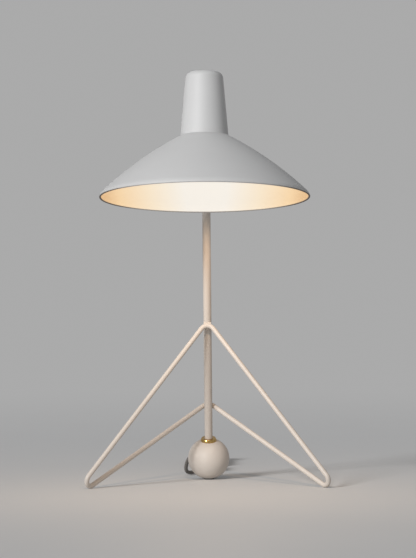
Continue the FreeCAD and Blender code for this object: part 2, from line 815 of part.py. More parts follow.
def grub_place():
    """The grub screw's seat on the stem, pointing out through the back of the ball."""
    return within(STEM_FRAME, Vector(0, size("stem_dia") / 2, size("grub_from_centre")), Y_AXIS)


def grub_screw():
    barrel = rod("grub_barrel", "grub_dia / 2", "grub_long", grub_place())
    socket_start = Vector(0, 0, size("grub_long") - size("grub_socket_deep"))
    socket_at = grub_place().multiply(Placement(socket_start, Rotation()))
    socket = hexagon("grub_socket", "grub_dia / 2", "2 * grub_long", socket_at)
    keep("grub_screw", without("grub", barrel, [socket]))


def ball_pad():
    keep("ball_pad", rod("pad", "pad_dia / 2", "pad_thick", Placement()))


def ball_collar():
    """A thin brass collar with a hollow underside that lies on the ball around the stem."""
    seat = "sqrt((ball_dia / 2) ^ 2 - ({0}) ^ 2)"
    inner = "stem_dia / 2 + bore_clear"
    outer = "collar_dia / 2"
    top = seat.format(inner) + " + collar_thick"
    corners = [
        (inner, seat.format(inner)),
        (outer, seat.format(outer)),
        (outer, f"{seat.format(outer)} + collar_edge_high"),
        ("collar_dia / 2 - collar_slope", top),
        (inner, top),
    ]
    keep("ball_collar", turned("collar", corners, {0: ("ball_dia / 2", 1)}, STEM_FRAME))


# ---------------------------------------------------------------- the lampholder and the bulb


def holder_bracket():
    """A bent strap: one leg clamped against the inside of the neck, the other over the lampholder."""
    top = "pivot_high + strap_wide / 2"
    corners = [
        ("-strap_reach", "holder_top"),
        (f"{STRAP_BACK} - strap_bend", "holder_top"),
        (STRAP_BACK, "holder_top + strap_bend"),
        (STRAP_BACK, top),
        (STRAP_FRONT, top),
        (STRAP_FRONT, "holder_top + strap_bend"),
        (f"{STRAP_BACK} - strap_bend", "holder_top + strap_thick"),
        ("-strap_reach", "holder_top + strap_thick"),
    ]
    arcs = {1: ("strap_bend", -1), 5: ("strap_bend - strap_thick", 1)}
    strap = pressed("strap", "YZ_Plane", corners, "strap_wide", arcs, SHADE_FRAME)
    bore = "nipple_dia / 2 + bore_clear"
    rear_hole = rod("strap_rear_hole", bore, "neck_base_dia", on_knuckle_line(0))
    low_place = within(SHADE_FRAME, Vector(0, 0, size("holder_top") - OVERSHOOT))
    low_hole = rod("strap_low_hole", bore, "strap_thick + strap_bend", low_place)
    keep("holder_bracket", without("strap_bored", strap, [rear_hole, low_hole]))


def holder_nipple():
    """A hollow threaded nipple and its lock nut, which hang the lampholder from the strap."""
    low = size("holder_top") - size("holder_nipple_low")
    high = value_of("holder_top + strap_thick + nut_thick + nipple_past_nut")
    tube = rod("holder_tube", "nipple_dia / 2", str(high - low), within(SHADE_FRAME, Vector(0, 0, low)))
    bore_place = within(SHADE_FRAME, Vector(0, 0, low - OVERSHOOT))
    bore = rod("holder_tube_bore", "wire_bore / 2", "neck_high", bore_place)
    nut_at = within(SHADE_FRAME, Vector(0, 0, size("holder_top") + size("strap_thick")))
    nut = hexagon("holder_nut", "nut_across", "nut_thick", nut_at)
    solid = joined("holder_nipple_solid", [tube, nut])
    keep("holder_nipple", without("holder_nipple_body", solid, [bore]))


def lampholder():
    """The lampholder's cap and body, the brass screw shell in it and the spring contact."""
    cap_low = "holder_top - holder_cap_high"
    body_low = f"{cap_low} - holder_body_high"
    radius = "holder_dia / 2"
    cap = [
        ("nipple_dia / 2", "holder_top"),
        ("nipple_dia / 2", "holder_top - holder_crown"),
        (f"{radius} - holder_wall - holder_crown", "holder_top - holder_crown"),
        (f"{radius} - holder_wall", "holder_top - holder_shoulder"),
        (f"{radius} - holder_wall", cap_low),
        (radius, cap_low),
        (radius, "holder_top - holder_shoulder"),
        (f"{radius} - holder_shoulder", "holder_top"),
    ]
    keep("holder_cap", turned("cap_of_holder", cap, {6: ("holder_shoulder", -1)}, SHADE_FRAME))
    shell = "shell_bore / 2 + shell_wall"
    floor = f"{cap_low} - holder_floor"
    body = [
        (shell, body_low),
        (radius, body_low),
        (radius, f"{cap_low} - holder_groove_long"),
        (f"{radius} - holder_groove", f"{cap_low} - holder_groove_long + holder_groove"),
        (f"{radius} - holder_groove", f"{cap_low} - holder_groove"),
        (radius, cap_low),
        ("0", cap_low),
        ("0", floor),
        (shell, floor),
    ]
    keep("holder_body", turned("body_of_holder", body, None, SHADE_FRAME))
    sleeve = [
        ("shell_bore / 2", f"{body_low} + shell_set_in"),
        (shell, f"{body_low} + shell_set_in"),
        (shell, floor),
        ("shell_bore / 2", floor),
    ]
    keep("holder_shell", turned("shell_of_holder", sleeve, None, SHADE_FRAME))
    leaf = f"{floor} - contact_thick"
    spring = [
        ("-contact_half", floor),
        ("contact_half", floor),
        ("contact_half", leaf),
        ("contact_nib_half", leaf),
        ("contact_nib_half", f"{leaf} - contact_nib"),
        ("-contact_nib_half", f"{leaf} - contact_nib"),
        ("-contact_nib_half", leaf),
        ("-contact_half", leaf),
    ]
    contact = pressed("spring_of_holder", "XZ_Plane", spring, "contact_wide", None, SHADE_FRAME)
    keep("holder_contact", contact)


def bulb():
    """A small opal globe bulb: its glass, its screw cap with a rolled thread, and its tip."""
    tip = "holder_top - holder_cap_high - holder_floor - contact_thick - contact_nib"
    cap_high = f"{tip} - bulb_tip_high"
    cap_low = f"{cap_high} - bulb_cap_long"
    bottom = f"{tip} - bulb_long"
    radius = "bulb_cap_dia / 2"
    root = f"{radius} - bulb_thread_deep"
    pitch = "(bulb_cap_long - bulb_skirt - bulb_shoulder) / bulb_thread_turns"
    thread = []
    for i in range(int(size("bulb_thread_turns"))):
        here = f"{cap_low} + bulb_skirt + {i} * {pitch}"
        thread.append((root, here))
        thread.append((radius, f"{here} + {pitch} / 2"))
    cap = [("0", cap_low), (f"{radius} - bulb_thread_deep / 2", cap_low), *thread]
    cap += [(root, f"{cap_high} - bulb_shoulder"), ("bulb_cap_top_dia / 2", cap_high), ("0", cap_high)]
    keep("bulb_cap", turned("cap_of_bulb", cap, None, SHADE_FRAME))
    point = [
        ("0", cap_high),
        ("bulb_tip_dia / 2", cap_high),
        ("bulb_tip_dia / 4", f"{tip} - bulb_tip_edge"),
        ("bulb_tip_dia / 4 - bulb_tip_edge", tip),
        ("0", tip),
    ]
    keep("bulb_tip", turned("tip_of_bulb", point, None, SHADE_FRAME))
    throat = f"{radius} - bulb_cap_wall"
    throat_low = f"{cap_low} - bulb_throat"
    centre = f"{bottom} + bulb_dia / 2"
    outward, upward = "cos(globe_turn)", "sin(globe_turn)"
    shoulder = f"bulb_dia / 2 * {outward}"
    shoulder_high = f"{centre} + bulb_dia / 2 * {upward}"
    glass = [
        ("0", bottom),
        ("bulb_dia / 2", centre),
        (shoulder, shoulder_high),
        (throat, throat_low),
        (throat, cap_low),
        (f"{throat} - glass_wall", cap_low),
        (f"{throat} - glass_wall", throat_low),
        (f"{shoulder} - glass_wall * {outward}", f"{shoulder_high} - glass_wall * {upward}"),
        ("bulb_dia / 2 - glass_wall", centre),
        ("0", f"{bottom} + glass_wall"),
    ]
    arcs = {
        0: ("bulb_dia / 2", -1),
        1: ("bulb_dia / 2", -1),
        7: ("bulb_dia / 2 - glass_wall", 1),
        8: ("bulb_dia / 2 - glass_wall", 1),
    }
    keep("bulb_globe", turned("globe_of_bulb", glass, arcs, SHADE_FRAME))


def neck_lead():
    """The lead's two cores in one sleeve, from the fork's nipple over and down into the lampholder."""
    high = size("pivot_high")
    points = [
        SHADE_FRAME.multVec(Vector(0, FLANGE_START + size("flange_thick"), high)),
        SHADE_FRAME.multVec(Vector(0, 0, high)),
        SHADE_FRAME.multVec(Vector(0, 0, value_of("holder_top - holder_crown"))),
    ]
    cores = bent_round(points, {1: size("neck_lead_bend")}, size("core_dia") / 2)
    keep("neck_lead", shaped("sleeved_cores", cores))


# ---------------------------------------------------------------- the lead


def cord_gland():
    """A soft tapered gland, pressed into the ball, that holds the lead where it leaves."""
    low = "ball_dia / 2 - gland_inside"
    face = "ball_dia / 2 - gland_face_deep"
    flange = f"{face} + gland_flange_thick"
    tip = "ball_dia / 2 + gland_outside"
    bore = "lead_dia / 2"
    corners = [
        (bore, low),
        ("gland_dia / 2", low),
        ("gland_dia / 2", face),
        ("gland_flange_dia / 2", face),
        ("gland_flange_dia / 2", f"{flange} - gland_edge"),
        ("gland_flange_dia / 2 - gland_edge", flange),
        ("gland_dia / 2 - gland_edge", flange),
        ("gland_tip_dia / 2", f"{tip} - gland_edge"),
        ("gland_tip_dia / 2 - gland_edge", tip),
        (bore, tip),
    ]
    keep("cord_gland", turned("gland", corners, None, EXIT_FRAME))


def inner_lead(stem_line):
    """The lead inside the lamp: through the gland, a bend in the ball's chamber, and up the stem."""
    tip = gland_tip()
    centre = STEM_FRAME.Base
    end = stem_line[2] - (stem_line[2] - stem_line[1]).normalize() * size("inner_lead_short")
    points = [tip, centre, stem_line[1], end]
    bends = {1: size("chamber_bend"), 2: size("stem_bend")}
    keep("inner_lead", shaped("lead_inside", bent_round(points, bends, size("lead_dia") / 2)))


def gland_tip():
    return EXIT_FRAME.multVec(Vector(0, 0, size("ball_dia") / 2 + size("gland_outside")))


def largest_arcs(points):
    """The arc at each bend that its two runs allow, with the radii printed."""
    radii = {}
    for i in range(1, len(points) - 1):
        way_in, way_out = points[i] - points[i - 1], points[i + 1] - points[i]
        turn = way_in.getAngle(way_out)
        radii[i] = 0.45 * min(way_in.Length, way_out.Length) / math.tan(turn / 2)
    print("lead radii:", " ".join(f"{r:.1f}" for r in radii.values()))
    return radii


def path_wire(points, radii):
    """Straight runs joined by tangent arcs."""
    edges = []
    start = points[0]
    for i in range(1, len(points) - 1):
        way_in = (points[i] - points[i - 1]).normalize()
        way_out = (points[i + 1] - points[i]).normalize()
        turn = way_in.getAngle(way_out)
        setback = radii[i] * math.tan(turn / 2)
        arc_start = points[i] - way_in * setback
        arc_end = points[i] + way_out * setback
        inward = (way_out - way_in).normalize()
        deep = radii[i] * (1 / math.cos(turn / 2) - 1)
        edges.append(Part.LineSegment(start, arc_start).toShape())
        edges.append(Part.Arc(arc_start, points[i] + inward * deep, arc_end).toShape())
        start = arc_end
    edges.append(Part.LineSegment(start, points[-1]).toShape())
    return Part.Wire(edges)


def lead_tube(name, points):
    """A plain tube along a route, with its volume compared with its section times its length."""
    path = path_wire(points, largest_arcs(points))
    section = Part.Wire(Part.makeCircle(size("lead_dia") / 2, points[0], points[1] - points[0]))
    tube = path.makePipeShell([section], True, True)
    expected = math.pi * (size("lead_dia") / 2) ** 2 * path.Length
    print(f"{name}: {path.Length:.1f} long, volume off by {tube.Volume / expected - 1:.4%}")
    keep(name, shaped(name + "_tube", tube))


def racetrack(half_wide, run, centre_y):
    """Corners and arcs of an outline with two straight runs along Y and a half round at each end."""
    front, back = f"{centre_y} - {run} / 2", f"{centre_y} + {run} / 2"
    corners = [
        (f"hank_x + {half_wide}", front),
        (f"hank_x + {half_wide}", back),
        ("hank_x", f"{back} + {half_wide}"),
        (f"hank_x - ({half_wide})", back),
        (f"hank_x - ({half_wide})", front),
        ("hank_x", f"{front} - ({half_wide})"),
    ]
    arcs = {1: (half_wide, -1), 2: (half_wide, -1), 4: (half_wide, -1), 5: (half_wide, -1)}
    return corners, arcs


def cord_hank():
    """The outer shape of the folded lead: a long ring, as wide and high as its turns."""
    outer = "(hank_fold + (hank_columns - 0.5) * lead_dia)"
    inner = "(hank_fold - lead_dia / 2)"
    centre_y = f"(hank_front + {outer} + hank_run / 2)"
    high = "hank_layers * lead_dia"
    lift = Placement(Vector(0, 0, size("hank_low") + value_of(high) / 2), Rotation())
    blanks = []
    for name, half_wide in (("hank_outside", outer), ("hank_inside", inner)):
        corners, arcs = racetrack(half_wide, "hank_run", centre_y)
        blanks.append(pressed(name, "XY_Plane", corners, high, arcs, lift))
    whole, middle = blanks
    keep("cord_hank", without("hank", whole, [middle]))
    return value_of(outer)


def cord_tie(half_wide):
    """A thin strap round the hank, which the plug then lies on."""
    high = size("hank_layers") * size("lead_dia")
    strap = size("tie_thick")
    middle = Vector(size("hank_x"), size("tie_y") - size("tie_wide") / 2, size("hank_low") + high / 2)
    place = Placement(middle, Rotation(Z_AXIS, Y_AXIS))
    outside = block("tie_outside", str(2 * (half_wide + strap)), str(high + 2 * strap), "tie_wide", place)
    inside_place = Placement(middle - Y_AXIS * OVERSHOOT, Rotation(Z_AXIS, Y_AXIS))
    through = f"tie_wide + {2 * OVERSHOOT}"
    inside = block("tie_inside", str(2 * half_wide), str(high), through, inside_place)
    keep("cord_tie", without("tie", outside, [inside]))


def top_face(thing):
    """The name of a shape's highest level face."""
    heights = [f.CenterOfMass.z - f.BoundBox.ZLength for f in thing.Shape.Faces]
    return f"Face{heights.index(max(heights)) + 1}"


def rounded_block(name, corners, arcs, low, high, edge, both=False):
    """An upright block between two heights, with its top edge rounded, or both edges."""
    body = doc.addObject("PartDesign::Body", name)
    sketch = outline(body, "XY_Plane", corners, arcs)
    pad = body.newObject("PartDesign::Pad", name + "_pad")
    pad.Profile = sketch
    pad.setExpression("Length", bound(f"{high} - ({low})"))
    doc.recompute()
    if edge:
        levels = [f for f in range(len(pad.Shape.Faces)) if pad.Shape.Faces[f].BoundBox.ZLength < 0.001]
        chosen = [f"Face{f + 1}" for f in levels] if both else [top_face(pad)]
        fillet = body.newObject("PartDesign::Fillet", name + "_round")
        fillet.Base = (pad, chosen)
        fillet.setExpression("Radius", bound(edge))
    body.Placement = Placement(Vector(0, 0, value_of(low)), Rotation())
    return body


def switch_case():
    """The two halves of the switch's case, screwed together from below."""
    half, end = "switch_wide / 2", "switch_long"
    left, right = f"switch_x - {half}", f"switch_x + {half}"
    front, back = "switch_y", f"switch_y + {end}"
    corners = [
        (left, f"{front} + switch_corner"),
        (f"{left} + switch_corner", front),
        (f"{right} - switch_corner", front),
        (right, f"{front} + switch_corner"),
        (right, f"{back} - switch_corner"),
        (f"{right} - switch_corner", back),
        (f"{left} + switch_corner", back),
        (left, f"{back} - switch_corner"),
    ]
    arcs = {i: ("switch_corner", -1) for i in (0, 2, 4, 6)}
    lower = rounded_block("switch_lower", corners, arcs, "switch_low", "switch_split", None)
    upper = rounded_block("switch_upper", corners, arcs, "switch_split", "switch_high", "switch_edge")
    middle = Vector(size("switch_x"), size("switch_y") + size("switch_long") / 2, 0)
    screws, holes = [], []
    for name, side in (("front_screw", -1), ("rear_screw", 1)):
        mouth = middle + Vector(0, side * size("case_screw_apart") / 2, size("switch_low"))
        mouth_place = Placement(mouth, Rotation())
        place = Placement(mouth + Z_AXIS * size("case_screw_deep"), Rotation())
        head = rod(name, "case_screw_dia / 2", "case_screw_head", place)
        shank = rod(name + "_shank", "case_screw_dia / 4", "case_screw_long", place)
        slot = block(name + "_slot", "case_screw_slot", "case_screw_dia", "case_screw_slot", place)
        screws.append(without(name + "_cut", joined(name + "_solid", [head, shank]), [slot]))
        head_long = "case_screw_deep + case_screw_head"
        holes.append(rod(name + "_head_hole", "case_screw_dia / 2", head_long, mouth_place))
        holes.append(rod(name + "_hole", "case_screw_dia / 4", "case_screw_long", place))
    keep("switch_screws", group("case_screws", screws))
    well_wide = "rocker_wide + 2 * rocker_gap"
    well_place = Placement(middle, Rotation())
    well = block("rocker_well", well_wide, "rocker_well_long", "switch_high", well_place)
    bearing_half = value_of("rocker_wide / 2 + rocker_pin_long + bearing_end")
    bearing_start = middle + Vector(-bearing_half, 0, size("rocker_pivot_z"))
    bearing_place = Placement(bearing_start, Rotation(Z_AXIS, X_AXIS))
    bearing_bore = "rocker_pin_dia / 2 + pin_clear"
    bearing = rod("rocker_bearing", bearing_bore, str(2 * bearing_half), bearing_place)
    core_start = Vector(middle.x, size("switch_y") - OVERSHOOT, size("switch_split"))
    core_place = Placement(core_start, Rotation(Z_AXIS, Y_AXIS))
    core_long = f"switch_long + {2 * OVERSHOOT}"
    core = rod("switch_core", "lead_dia / 2 + core_clear", core_long, core_place)
    keep("switch_base", without("switch_lower_cut", lower, [*holes, core]))
    keep("switch_top", without("switch_upper_cut", upper, [*holes, core, well, bearing]))
    return middle


def switch_rocker(middle):
    """The rocker, tipped to its first stop, with a hollow across its top and a pin at each side."""
    half = "rocker_long / 2"
    corners = [
        (f"-({half})", "rocker_crest"),
        (f"-({half})", "rocker_skirt"),
        ("-rocker_foot_half", "-rocker_foot_deep"),
        ("rocker_foot_half", "-rocker_foot_deep"),
        (half, "rocker_skirt"),
        (half, "rocker_crest"),
    ]
    place = Placement(middle + Z_AXIS * size("rocker_pivot_z"), Rotation(X_AXIS, -size("rocker_tilt")))
    arcs = {5: ("rocker_hollow", 1)}
    blade = pressed("rocker_blade", "YZ_Plane", corners, "rocker_wide", arcs, place)
    start = -(size("rocker_wide") / 2 + size("rocker_pin_long"))
    pin_place = place.multiply(Placement(Vector(start, 0, 0), Rotation(Z_AXIS, X_AXIS)))
    pins = rod("rocker_pins", "rocker_pin_dia / 2", "rocker_wide + 2 * rocker_pin_long", pin_place)
    keep("switch_rocker", joined("rocker", [blade, pins]))


def plug():
    """A flat moulded plug with two round pins and a tapered relief, lying on the hank."""
    low_z = value_of("hank_low + hank_layers * lead_dia + tie_thick + face_clear")
    middle_z = low_z + size("plug_thick") / 2
    neck_y = "relief_y + relief_long"
    face_y = f"{neck_y} + plug_long"
    corners = [
        ("hank_x - plug_neck_wide / 2", neck_y),
        ("hank_x + plug_neck_wide / 2", neck_y),
        ("hank_x + plug_wide / 2 - plug_shoulder", f"{face_y} - plug_taper_from"),
        ("hank_x + plug_wide / 2", f"{face_y} - plug_taper_to"),
        ("hank_x + plug_wide / 2", face_y),
        ("hank_x - plug_wide / 2", face_y),
        ("hank_x - plug_wide / 2", f"{face_y} - plug_taper_to"),
        ("hank_x - plug_wide / 2 + plug_shoulder", f"{face_y} - plug_taper_from"),
    ]
    low = str(low_z)
    body = rounded_block("plug_block", corners, None, low, f"{low} + plug_thick", "plug_edge", both=True)
    keep("plug_body", body)
    pins = []
    straight = "plug_pin_long - plug_pin_dia / 2"
    for name, side in (("left_pin", -1), ("right_pin", 1)):
        spot = Vector(size("hank_x") + side * size("plug_pin_apart") / 2, value_of(face_y), middle_z)
        shank = rod(name, "plug_pin_dia / 2", straight, Placement(spot, Rotation(Z_AXIS, Y_AXIS)))
        tip_place = Placement(spot + Y_AXIS * value_of(straight), Rotation())
        tip = ball(name + "_tip", "plug_pin_dia / 2", tip_place)
        pins.append(joined(name + "_whole", [shank, tip]))
    keep("plug_pins", group("pin_pair", pins))
    place = Placement(Vector(size("hank_x"), size("relief_y"), middle_z), Rotation(Z_AXIS, Y_AXIS))
    taper = [
        ("0", "0"),
        ("relief_tip_dia / 2 - relief_edge", "0"),
        ("relief_tip_dia / 2", "relief_edge"),
        ("relief_root_dia / 2", "relief_long - relief_root_long"),
        ("relief_root_dia / 2", "relief_long"),
        ("0", "relief_long"),
    ]
    keep("plug_relief", turned("relief", taper, None, place))


# ---------------------------------------------------------------- build, check and write


def build():
    shade_brim()
    shade_neck()
    saddle_washers()
    pivot_fork()
    fork_nut()
    friction_washers()
    pivot_screw()
    pivot_knob()
    top_back = stem_eye()
    stem_line = stem_route(top_back)
    stem_tube(stem_line)
    corners, apexes = loop_corners()
    wire = leg_loop(corners)
    braze_joints(apexes, wire)
    ball_foot()
    grub_screw()
    ball_pad()
    ball_collar()
    holder_bracket()
    holder_nipple()
    lampholder()
    bulb()
    neck_lead()
    cord_gland()
    inner_lead(stem_line)
    lead_tube("cord_lead", [gland_tip(), *LEAD_ROUTE])
    lead_tube("cord_middle", MIDDLE_ROUTE)
    lead_tube("cord_end", PLUG_ROUTE)
    cord_tie(cord_hank())
    switch_rocker(switch_case())
    plug()


def check_and_write():
    doc.recompute()
    failed = [t.Name for t in doc.Objects if "Invalid" in t.State or "Error" in t.State]
    if failed:
        raise RuntimeError("these objects failed: " + ", ".join(failed))
    for label, thing in nodes.items():
        shape = thing.Shape
        if shape.isNull() or not shape.isValid() or not shape.Solids:
            raise RuntimeError(f"{label} has no valid solid")
    os.makedirs("parts", exist_ok=True)
    for label, thing in nodes.items():
        thing.Shape.exportStep(f"parts/{label}.step")
        print(f"{label}: {len(thing.Shape.Solids)} solids, {thing.Shape.Volume:.0f} mm3")


build()
check_and_write()
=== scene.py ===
import json
import math

import bpy
from mathutils import Matrix, Vector


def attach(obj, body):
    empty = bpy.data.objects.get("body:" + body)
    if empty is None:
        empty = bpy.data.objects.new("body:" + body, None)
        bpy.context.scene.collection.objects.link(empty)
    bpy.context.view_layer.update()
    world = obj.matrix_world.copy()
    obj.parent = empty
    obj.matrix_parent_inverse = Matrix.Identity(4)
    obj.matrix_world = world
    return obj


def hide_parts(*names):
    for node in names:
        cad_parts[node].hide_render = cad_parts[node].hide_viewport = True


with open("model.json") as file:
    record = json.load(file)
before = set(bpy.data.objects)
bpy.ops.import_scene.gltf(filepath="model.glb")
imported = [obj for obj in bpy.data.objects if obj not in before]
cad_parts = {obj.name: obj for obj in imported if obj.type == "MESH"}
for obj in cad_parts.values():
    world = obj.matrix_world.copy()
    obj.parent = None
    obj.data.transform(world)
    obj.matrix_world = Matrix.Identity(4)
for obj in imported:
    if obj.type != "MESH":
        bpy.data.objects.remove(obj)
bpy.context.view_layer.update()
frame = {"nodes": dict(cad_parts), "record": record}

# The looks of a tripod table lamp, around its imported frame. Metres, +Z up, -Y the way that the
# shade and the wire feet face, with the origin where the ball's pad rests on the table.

# ---------------------------------------------------------------- sizes that the pieces share

BALL_RADIUS = 0.026
BALL_CENTRE = Vector((0, 0, BALL_RADIUS))
STEM_LEAN = math.radians(18.3)
STEM_RADIUS = 0.005
STEM_WALL = 0.001
STEM_CORNER = 0.034
# the corners of the stem's line and of the wire's, where its straight runs would meet
STEM_LINE = [
    Vector((0, -0.00298, 0.03502)),
    Vector((0, -0.14564, 0.46638)),
    Vector((0, -0.17541, 0.46982)),
]
WIRE_RADIUS = 0.003
LOOP_CORNERS = [
    Vector((0, -0.06137, 0.19999)),
    Vector((0.1665, -0.155, -0.01477)),
    Vector((0, -0.01079, 0.09717)),
    Vector((-0.1665, -0.155, -0.01477)),
]
LOOP_BENDS = [0.009, 0.0085, 0.009, 0.0085]

RIM_CENTRE = Vector((0, -0.245, 0.346))
SHADE_TILT = math.radians(6.6)
RIM_RADIUS = 0.1225
BEAD = 0.0022
LIP_IN = 0.0035
LIP_HIGH = 0.0065
LIP_ROUND = 0.014
BRIM_HIGH = 0.073
BRIM_CROWN = 0.42
SHEET = 0.0014
SPIGOT_HIGH = 0.0055
SPIGOT_CLEAR = 0.0006
NECK_BASE = 0.028
NECK_TOP = 0.0222
NECK_HIGH = 0.076
NECK_ROUND = 0.008
NECK_DOME = 0.0008

PIVOT_BACK = 0.044
PIVOT_HIGH = 0.131
LEAD_DIAMETER = 0.0048

SHADE_FRAME = Matrix.Translation(RIM_CENTRE) @ Matrix.Rotation(-SHADE_TILT, 4, "X")
STEM_FRAME = Matrix.Translation(BALL_CENTRE) @ Matrix.Rotation(STEM_LEAN, 4, "X")
EXIT_YAW = math.radians(30)

TO_THE_SIDE = Matrix.Rotation(math.pi / 2, 4, "Y")
TO_THE_REAR = Matrix.Rotation(-math.pi / 2, 4, "X")
PIVOT_FRAME = SHADE_FRAME @ Matrix.Translation((0, PIVOT_BACK, PIVOT_HIGH)) @ TO_THE_SIDE
EXIT_FRAME = Matrix.Translation(BALL_CENTRE) @ Matrix.Rotation(EXIT_YAW, 4, "Z") @ TO_THE_REAR

# ---------------------------------------------------------------- camera

CAMERA_PLACE = (0.0387, -3.1468, 0.2542)
CAMERA_WAY = Vector((-0.0122, 0.9999, -0.0008))
CAMERA_ROLL = math.radians(-0.33)
CAMERA_LENS = 161.3


def studio_camera():
    """A long lens at half the lamp's height, level, with the lamp's front turned slightly left."""
    data = bpy.data.cameras.new("studio_camera")
    data.sensor_width = 36.0
    data.lens = CAMERA_LENS
    data.clip_start = 0.1
    data.clip_end = 60
    camera = bpy.data.objects.new("studio_camera", data)
    bpy.context.collection.objects.link(camera)
    camera.location = CAMERA_PLACE
    roll = Matrix.Rotation(CAMERA_ROLL, 3, "Z")
    camera.rotation_euler = (CAMERA_WAY.to_track_quat("-Z", "Y").to_matrix() @ roll).to_euler()
    bpy.context.scene.camera = camera


bpy.context.scene.view_settings.view_transform = "Standard"
studio_camera()

# ---------------------------------------------------------------- the free lead

# the first stretch runs from the ball to the switch, the second from the switch to the plug
FIRST_STRETCH = 0.096
SECOND_STRETCH = 1.63
GLAND_TIP = (-0.01925, 0.03334, 0.026)

LEAD_ROUTE = [
    GLAND_TIP,
    (-0.0246, 0.0426, 0.0255),
    (-0.0288, 0.0502, 0.0172),
    (-0.0305, 0.0570, 0.0080),
    (-0.0280, 0.0655, 0.0030),
    (-0.0205, 0.0750, 0.0027),
    (-0.0120, 0.0845, 0.0044),
    (-0.0062, 0.0935, 0.0076),
    (-0.0040, 0.1020, 0.0085),
    (-0.0040, 0.1100, 0.0085),
]

MIDDLE_ROUTE = [
    (-0.0040, 0.1580, 0.0085),
    (-0.0040, 0.1655, 0.0085),
    (-0.0035, 0.1729, 0.0069),
    (-0.0014, 0.1798, 0.0046),
    (0.0020, 0.1868, 0.0035),
    (0.0062, 0.1940, 0.0033),
]

PLUG_ROUTE = [
    (0.0074, 0.2080, 0.0177),
    (0.0070, 0.2160, 0.0180),
    (0.0036, 0.2230, 0.0195),
    (-0.0024, 0.2295, 0.0217),
    (-0.0064, 0.2370, 0.0229),
    (-0.0070, 0.2460, 0.02295),
]

HANK_X = -0.007
FOLD_FRONT = 0.2096
FOLD_REAR = 0.2856
INNER_FOLD = 0.0144
OUTER_FOLD = 0.0192
LAYERS = (0.0033, 0.0081, 0.0129)
# each turn's column and layer, from the first that the lead makes to the last
TURNS = [
    (OUTER_FOLD, LAYERS[0]),
    (INNER_FOLD, LAYERS[0]),
    (INNER_FOLD, LAYERS[1]),
    (OUTER_FOLD, LAYERS[1]),
    (OUTER_FOLD, LAYERS[2]),
    (INNER_FOLD, LAYERS[2]),
]
FOLD_STEPS = 5
RUN_SHARES = (0.15, 0.5, 0.85)
# where the last turn lets go of the hank, on its way up to the plug
HANK_END = (INNER_FOLD, 0.0177)


def turn_points(here, after):
    """One turn of the hank: back along the right run, round, and forward to the next turn's start."""
    radius, height = here
    next_radius, next_height = after
    # a control point lies outside the arc that the smooth line makes
    outside = 1 / math.cos(math.pi / FOLD_STEPS / 2)
    points = []
    for share in RUN_SHARES:
        points.append((HANK_X + radius, FOLD_FRONT + share * (FOLD_REAR - FOLD_FRONT), height))
    for step in range(FOLD_STEPS):
        angle = math.pi * (step + 0.5) / FOLD_STEPS
        reach = radius * outside
        points.append((HANK_X + reach * math.cos(angle), FOLD_REAR + reach * math.sin(angle), height))
    for share in reversed(RUN_SHARES):
        points.append((HANK_X - radius, FOLD_FRONT + share * (FOLD_REAR - FOLD_FRONT), height))
    for step in range(FOLD_STEPS):
        share = (step + 0.5) / FOLD_STEPS
        angle = math.pi * share
        reach = (radius + (next_radius - radius) * share) * outside
        rise = height + (next_height - height) * share
        points.append((HANK_X - reach * math.cos(angle), FOLD_FRONT - reach * math.sin(angle), rise))
    return points


def hank_points():
    """Every turn of the hank, one after the other."""
    points = []
    for here, after in zip(TURNS, [*TURNS[1:], HANK_END]):
        points += turn_points(here, after)
    return points


def smooth_lead(name, points):
    """A lead on one smooth line through its route."""
    curve = bpy.data.curves.new(name, "CURVE")
    curve.dimensions = "3D"
    line = curve.splines.new("NURBS")
    line.points.add(len(points) - 1)
    for control, point in zip(line.points, points):
        control.co = (*point, 1)
    line.order_u = 3
    line.use_endpoint_u = True
    curve.resolution_u = 8
    curve.bevel_depth = LEAD_DIAMETER / 2
    curve.bevel_resolution = 5
    curve.use_fill_caps = True
    lead = bpy.data.objects.new(name, curve)
    bpy.context.collection.objects.link(lead)
    return lead


lead_to_switch = smooth_lead("lead_to_switch", LEAD_ROUTE)
lead_to_plug = smooth_lead("lead_to_plug", MIDDLE_ROUTE + hank_points() + PLUG_ROUTE)

# ---------------------------------------------------------------- shader building


class Wire:
    """A shader socket. Python's operators on it add Math nodes to its graph."""

    def __init__(self, finish, socket):
        self.finish = finish
        self.socket = socket

    def maths(self, operation, *values):
        """A Math node over the values, each a number or another socket."""
        return self.finish.node("ShaderNodeMath", {"operation": operation}, dict(enumerate(values)))

    def __add__(self, other):
        return self.maths("ADD", self, other)

    def __radd__(self, other):
        return self.maths("ADD", other, self)

    def __sub__(self, other):
        return self.maths("SUBTRACT", self, other)

    def __rsub__(self, other):
        return self.maths("SUBTRACT", other, self)

    def __mul__(self, other):
        return self.maths("MULTIPLY", self, other)

    def __rmul__(self, other):
        return self.maths("MULTIPLY", other, self)

    def __truediv__(self, other):
        return self.maths("DIVIDE", self, other)

    def __pow__(self, other):
        return self.maths("POWER", self, other)

    def sine(self):
        """A wave between -1 and 1, from an angle in radians."""
        return self.maths("SINE", self)

    def size(self):
        """The value without its sign."""
        return self.maths("ABSOLUTE", self)


